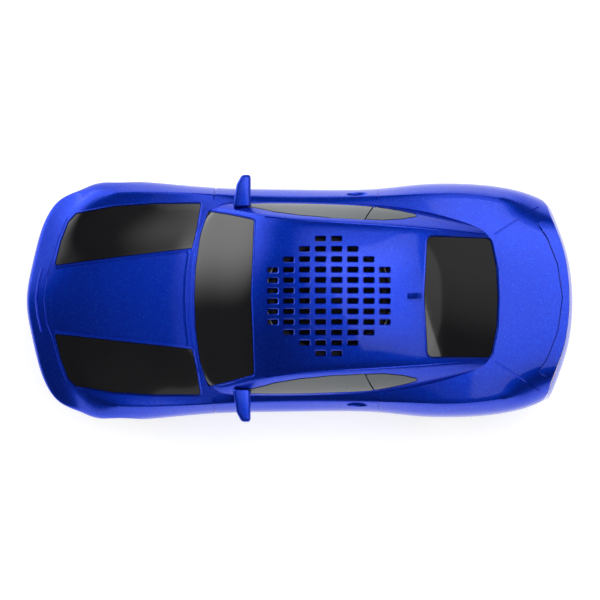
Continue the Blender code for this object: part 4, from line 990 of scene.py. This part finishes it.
for axle_x, axle in ((FRONT_AXLE_X, "front"), (REAR_AXLE_X, "rear")):
    centre = (axle_x, 0.0, WHEEL_R)
    wheels = f"{axle}_wheels"
    length = 2 * (RIM_FACE - 2.3)
    bar = cylinder(f"{axle}_axle_fine", centre, 1.5, length, "Y", 48)
    finish_piece(bevelled(bar, 0.3, 2, 30.0), STEEL, wheels, f"{axle}_axle")
    for side, label in SIDES:
        facing = "Y" if side > 0 else "-Y"
        corner = f"{axle}_{label}"
        finish_piece(tyre(f"tyre_{corner}_fine", centre, facing), TYRE, wheels, f"tyre_{corner}")
        finish_piece(rim(f"rim_{corner}_fine", centre, facing), RIM, wheels, f"rim_{corner}")
        liner = turned(f"wheel_liner_{corner}_fine", LINER_PROFILE, centre, 96, True, facing)
        carve(liner, box("liner_cut", (axle_x - 20, -50, -20), (axle_x + 20, 50, 9.0)))
        finish_piece(liner, MATTE, CAR, f"wheel_liner_{corner}")

# ---- underside ----
PAN_HALF = [(86.0, 0.0), (84.5, 14.0), (80.5, 22.5), (42.0, 22.5), (41.5, 32.6), (-32.5, 32.6),
            (-33.0, 22.5), (-71.5, 22.5), (-72.5, 28.5), (-82.0, 25.0), (-85.5, 14.0), (-86.0, 0.0)]
PAN_Z = (6.0, 8.0)
SCREWS = {"front_left": (36.0, 27.0), "front_right": (36.0, -27.0), "rear_left": (-28.0, 27.0),
          "rear_right": (-28.0, -27.0)}
BUTTONS = {"previous": -6.0, "play": 6.0, "next": 18.0}
BUTTON_R = 3.0
BUTTON_FACE_Z = 5.2
JACK_X = -34.0
OPENINGS = [(-20.0, 0.0, 5.6, 2.8), (31.0, 0.0, 9.8, 4.0), (31.0, 11.0, 14.0, 3.4)]    # x, y, length, width


def pill(x, y, length, width, radius):
    """Rounded rectangle outline about a point."""
    a, b = length / 2, width / 2
    return rounded([(x + a, y + b), (x - a, y + b), (x - a, y - b), (x + a, y - b)], radius, 4)


pan = bevelled(prism("chassis_pan_fine", rounded(symmetric(PAN_HALF), 2.0, 6), "Z", *PAN_Z), 0.5)
for axle_x in (FRONT_AXLE_X, REAR_AXLE_X):
    for side, label in SIDES:
        y = side * 18.0
        bearing = box("bearing", (axle_x - 4.0, y - 2.5, 7.2), (axle_x + 4.0, y + 2.5, 18.2))
        carve(pan, bevelled(bearing, 0.6), "UNION")
    carve(pan, cylinder("axle_bore", (axle_x, 0, WHEEL_R), 1.6, 60.0, "Y", 48))
for sx in (1, -1):
    for sy in (1, -1):
        carve(pan, cylinder("board_post", (sx * 36.0, sy * 16.0, 9.15), 2.0, 3.9, segments=32), "UNION")
for x in BUTTONS.values():
    carve(pan, cylinder("button_hole", (x, 0, 7.0), BUTTON_R + 0.3, 4.0, segments=48))
    carve(pan, cylinder("button_dish", (x, 0, PAN_Z[0]), BUTTON_R + 1.1, 0.8, segments=48,
                        far_radius=BUTTON_R + 0.3))
carve(pan, cylinder("jack_hole", (JACK_X, 0, 7.0), 3.3, 4.0, segments=48))
for x, y, length, width in OPENINGS:
    carve(pan, prism("opening", pill(x, y, length, width, 0.6), "Z", 5.0, 9.0))
    carve(pan, prism("opening_rim", pill(x, y, length + 1.4, width + 1.4, 1.0), "Z", 5.0, 6.35))
for x, y in SCREWS.values():
    carve(pan, cylinder("screw_hole", (x, y, 7.0), 1.5, 4.0, segments=32))
    carve(pan, cylinder("screw_dish", (x, y, 6.0), 3.0, 2.0, segments=48))
under = PAN_Z[0]
grooves = [tube("pan_line", [(x, -20.0, under), (x, 20.0, under)], 0.35, False)
           for x in (-78, -70, 44, 48, 74, 78)]
grooves += [tube("pan_rail", [(-30.0, y, under), (30.0, y, under)], 0.35, False)
            for y in (-20.5, -18.5, 18.5, 20.5)]
border = rounded(grown(symmetric(PAN_HALF), -1.8), 2.5, 6)
grooves.append(tube("pan_border", [(x, y, under) for x, y in refined(border, 2.0)], 0.3))
for groove in grooves:
    carve(pan, groove)
finish_piece(pan, MATTE, CAR, "chassis_pan")

for label, (x, y) in SCREWS.items():
    head = 6.2
    thread = []
    for k in range(9):
        thread += [(1.0, 14.2 - k * 0.75), (0.82, 13.85 - k * 0.75)]
    profile = [(0, 15.0), (0.6, 14.7)] + thread + [(1.0, head + 0.5), (2.6, head + 0.5), (2.6, head + 0.25),
                                                   (2.3, head), (0, head)]
    screw = turned(f"screw_{label}_fine", profile, (x, y, 0), 48, False)
    for size in ((1.5, 0.28), (0.28, 1.5)):
        low, high = (x - size[0], y - size[1], head - 0.5), (x + size[0], y + size[1], head + 0.4)
        carve(screw, box("cross", low, high))
    finish_piece(screw, STEEL, CAR, f"screw_{label}")

SYMBOLS = {
    "previous": [[(-1.3, 0.0), (0.1, 1.1), (0.1, -1.1)], [(0.1, 0.0), (1.3, 1.1), (1.3, -1.1)]],
    "play": [[(-1.4, 1.1), (-0.1, 0.0), (-1.4, -1.1)], [(0.3, 1.0), (0.7, 1.0), (0.7, -1.0), (0.3, -1.0)],
             [(1.1, 1.0), (1.5, 1.0), (1.5, -1.0), (1.1, -1.0)]],
    "next": [[(-1.3, 1.1), (-0.1, 0.0), (-1.3, -1.1)], [(-0.1, 1.1), (1.2, 0.0), (-0.1, -1.1)]],
}
for label, x in BUTTONS.items():
    angles = [math.radians(d) for d in range(75, -1, -15)]
    dome = [(BUTTON_R * math.sin(a), BUTTON_FACE_Z + 0.45 * (1 - math.cos(a))) for a in angles]
    profile = [(0, 10.2), (1.2, 10.2), (1.2, 9.2), (BUTTON_R + 1, 9.2), (BUTTON_R + 1, 8.3), (BUTTON_R, 8.3),
               (BUTTON_R, 5.65), *dome]
    button = turned(f"button_{label}_fine", profile, (x, 0, 0), 64, False)
    body = f"{label}_button"
    for i, outline in enumerate(SYMBOLS[label]):
        mark = [(x + u, v) for u, v in outline]
        carve(button, prism("mark_cut", mark, "Z", 4.5, 5.5))
        symbol = prism(f"symbol_{label}_{i}", grown(mark, -0.04), "Z", 5.36, 5.5)
        finish_piece(symbol, SYMBOL, body, None)
    finish_piece(button, BUTTON, body, f"button_{label}")

knob = bevelled(box("power_switch_knob_fine", (-22.4, -1.1, 5.3), (-20.0, 1.1, 8.6)), 0.25)
for k in range(4):
    x = -21.95 + 0.5 * k
    carve(knob, prism("knob_groove", [(x - 0.16, 5.0), (x + 0.16, 5.0), (x, 5.7)], "Y", -2.0, 2.0))
finish_piece(knob, BUTTON, "power_knob", "power_switch_knob")
body = bevelled(box("power_switch_body_fine", (-25.0, -2.0, 8.9), (-15.0, 2.0, 11.1)), 0.2)
finish_piece(body, STEEL, CAR, "power_switch_body")

socket = prism("charging_socket_fine", pill(31.0, 0.0, 9.0, 3.2, 1.5), "Z", 6.3, 11.1)
carve(socket, prism("charging_mouth", pill(31.0, 0.0, 8.3, 2.5, 1.2), "Z", 5.0, 9.6))
finish_piece(socket, STEEL, CAR, "charging_socket")
tongue = bevelled(box("charging_tongue", (27.8, -0.32, 7.0), (34.2, 0.32, 9.6)), 0.1)
finish_piece(tongue, MATTE, CAR)
jack = turned("audio_jack_fine", [(2.9, 11.1), (2.9, 6.6), (2.6, 6.3), (2.1, 6.3), (1.8, 6.6), (1.8, 11.1)],
              (JACK_X, 0, 0), 64)
finish_piece(jack, MATTE, CAR, "audio_jack")
contact_profile = [(1.78, 8.6), (1.78, 7.4), (1.62, 7.6), (1.62, 8.4)]
contact = turned("audio_jack_contact", contact_profile, (JACK_X, 0, 0), 48)
finish_piece(contact, STEEL, CAR)
card = prism("card_slot_fine", pill(31.0, 11.0, 13.2, 2.6, 0.4), "Z", 6.3, 11.1)
carve(card, box("card_mouth", (25.1, 10.4, 5.0), (36.9, 11.6, 10.4)))
for k in range(8):
    x = 26.2 + 1.37 * k
    contact = box(f"card_contact_{k}", (x - 0.35, 11.45, 7.4), (x + 0.35, 11.6, 10.2))
    finish_piece(contact, STEEL, CAR)
finish_piece(card, STEEL, CAR, "card_slot")

# ---- loudspeaker seen through the roof slots ----
at = (DRIVER_X, 0.0, 0.0)
z = FLANGE_Z
ROLL_R = 1.9
CONE_STEPS = 9
profile = [(DRIVER_R - 0.4, z + 2.15), (DRIVER_R - 0.4, z + 1.7), (21.6, z + 1.7), (21.6, z + 2.15),
           (21.8, z + 2.3), (DRIVER_R - 0.6, z + 2.3)]
gasket = turned("speaker_gasket_fine", profile, at, 128)
finish_piece(gasket, SURROUND, CAR, "speaker_gasket")
roll_z = z + 2.2          # the half roll of the surround, flattened from a circle
roll = [(r, roll_z + (height - roll_z) * 1.1 / ROLL_R)
        for r, height in arc_points((19.2, roll_z), ROLL_R, 0, 180, 20)]
lower_roll = [(r, height - 0.5) for r, height in roll]
surround = turned("cone_surround_fine", lower_roll + roll[::-1], at, 128)
profile = [(17.0, z + 1.3), (17.0, z + 0.7)]
for k in range(1, CONE_STEPS):
    t = k / CONE_STEPS
    dip = 0.35 * math.sin(math.pi * t)
    profile.append((17.0 + (7.9 - 17.0) * t, z + 0.7 - 5.9 * t - dip))
profile += [(7.9, z - 5.2), (7.0, z - 5.2), (7.0, z - 4.5)]
for k in range(CONE_STEPS - 1, 0, -1):
    t = k / CONE_STEPS
    dip = 0.35 * math.sin(math.pi * t)
    ridge = 0.12 if k % 2 else 0.0
    profile.append((15.6 + (7.0 - 15.6) * t, z + 1.1 - 5.6 * t - dip + ridge))
profile.append((15.6, z + 1.1))
cone = turned("speaker_cone_fine", profile, at, 128)
finish_piece(cone, CONE, "cone", "speaker_cone", degrees=20)
angles = [math.radians(d) for d in range(0, 91, 6)]
dome = [(7.6 * math.sin(a), z - 3.4 + 2.2 * math.cos(a)) for a in angles]
hollow = [(max(r - 0.4, 0.0), height - 0.5) for r, height in dome[::-1]]
cap = turned("dust_cap_fine", dome + hollow, at, 96, False)
finish_piece(cap, SURROUND, "cone", "dust_cap")
finish_piece(surround, SURROUND, CAR, "cone_surround")

for node, material in {
    "speaker_basket": BASKET, "voice_coil": BASKET, "spider": SPIDER, "speaker_magnet": FERRITE,
    "main_board": BOARD, "battery_cell": WRAP, "speaker_lead": LEAD, "battery_lead": LEAD,
}.items():
    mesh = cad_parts[node].data
    mesh.materials.clear()
    mesh.materials.append(material)

for outer_surface in (*LOW[:3], *TOP[:3], raised):
    bpy.data.objects.remove(outer_surface)

# ---- camera, light and floor ----
TARGET = Vector((0.0, 0.0, 0.0306))
CAMERA_DISTANCE = 1.073
CAMERA_LENS = 186.0
CAMERA_ELEVATION = math.radians(86.7)
camera_data = bpy.data.cameras.new("camera")
camera_data.lens = CAMERA_LENS
camera_data.sensor_width = 36.0
camera_data.clip_start = 0.01
camera = bpy.data.objects.new("camera", camera_data)
bpy.context.scene.collection.objects.link(camera)
back = Vector((0.0, math.cos(CAMERA_ELEVATION), math.sin(CAMERA_ELEVATION)))
camera.location = TARGET + CAMERA_DISTANCE * back
camera.rotation_euler = (math.pi / 2 - CAMERA_ELEVATION, 0.0, math.pi)
bpy.context.scene.camera = camera


def area_light(name, place, aim, size, power):
    data = bpy.data.lights.new(name, "AREA")
    data.shape = "RECTANGLE"
    data.size, data.size_y = size
    data.energy = power
    light = bpy.data.objects.new(name, data)
    bpy.context.scene.collection.objects.link(light)
    light.location = place
    light.rotation_euler = (Vector(aim) - Vector(place)).to_track_quat("-Z", "Y").to_euler()
    return light


area_light("key", place=(-0.20, -0.04, 0.62), aim=(-0.06, 0.0, 0.04), size=(0.60, 0.34), power=0.85)

# soft patches of light in the studio: direction, where each starts to fade and ends (degrees), strength
PATCHES = [
    ((-0.08, -0.36, 0.92), 3.0, 24.0, 1.3),
    ((-0.24, -0.05, 0.97), 25.0, 26.0, 0.30),
    ((0.76, -0.60, 0.26), 5.0, 38.0, 2.0),
    ((-0.70, -0.35, 0.58), 5.0, 30.0, 0.25),
]
# (height of the direction, colour): bright at the horizon, dark overhead
SKY_BANDS = [(0.0, (1.3, 1.3, 1.3)), (0.10, (1.0, 1.01, 1.03)), (0.26, (0.10, 0.10, 0.105)),
             (0.8, (0.06, 0.06, 0.065)), (1.0, (0.10, 0.10, 0.105))]
world = bpy.data.worlds.new("studio")
bpy.context.scene.world = world
world.use_nodes = True
tree = world.node_tree
background = tree.nodes["Background"]
sky = tree.nodes.new("ShaderNodeTexCoord").outputs["Generated"]
height = tree.nodes.new("ShaderNodeSeparateXYZ")
tree.links.new(sky, height.inputs["Vector"])
total = ramp(tree, height.outputs["Z"], SKY_BANDS)
for way, inner, outer, strength in PATCHES:
    facing = tree.nodes.new("ShaderNodeVectorMath")
    facing.operation = "DOT_PRODUCT"
    facing.inputs[1].default_value = Vector(way).normalized()
    tree.links.new(sky, facing.inputs[0])
    fade = tree.nodes.new("ShaderNodeMapRange")
    fade.interpolation_type = "SMOOTHSTEP"
    fade.inputs["From Min"].default_value = math.cos(math.radians(outer))
    fade.inputs["From Max"].default_value = math.cos(math.radians(inner))
    fade.inputs["To Max"].default_value = strength
    tree.links.new(facing.outputs["Value"], fade.inputs["Value"])
    add = tree.nodes.new("ShaderNodeVectorMath")
    tree.links.new(total, add.inputs[0])
    tree.links.new(fade.outputs["Result"], add.inputs[1])
    total = add.outputs["Vector"]
tree.links.new(total, background.inputs["Color"])
bpy.context.scene.view_settings.view_transform = "Standard"

bm = bmesh.new()
bmesh.ops.create_grid(bm, x_segments=1, y_segments=1, size=STUDIO_HALF)
floor = add_mesh("studio_floor", bm)
floor_white = plastic("floor_white", (0.93, 0.93, 0.93), (0.92, 0.92, 0.92), 0.6, 0.0)
glow = floor_white.node_tree.nodes["Principled BSDF"]
glow.inputs["Emission Color"].default_value = (1.0, 1.0, 1.0, 1.0)
glow.inputs["Emission Strength"].default_value = FLOOR_GLOW
floor.data.materials.append(floor_white)
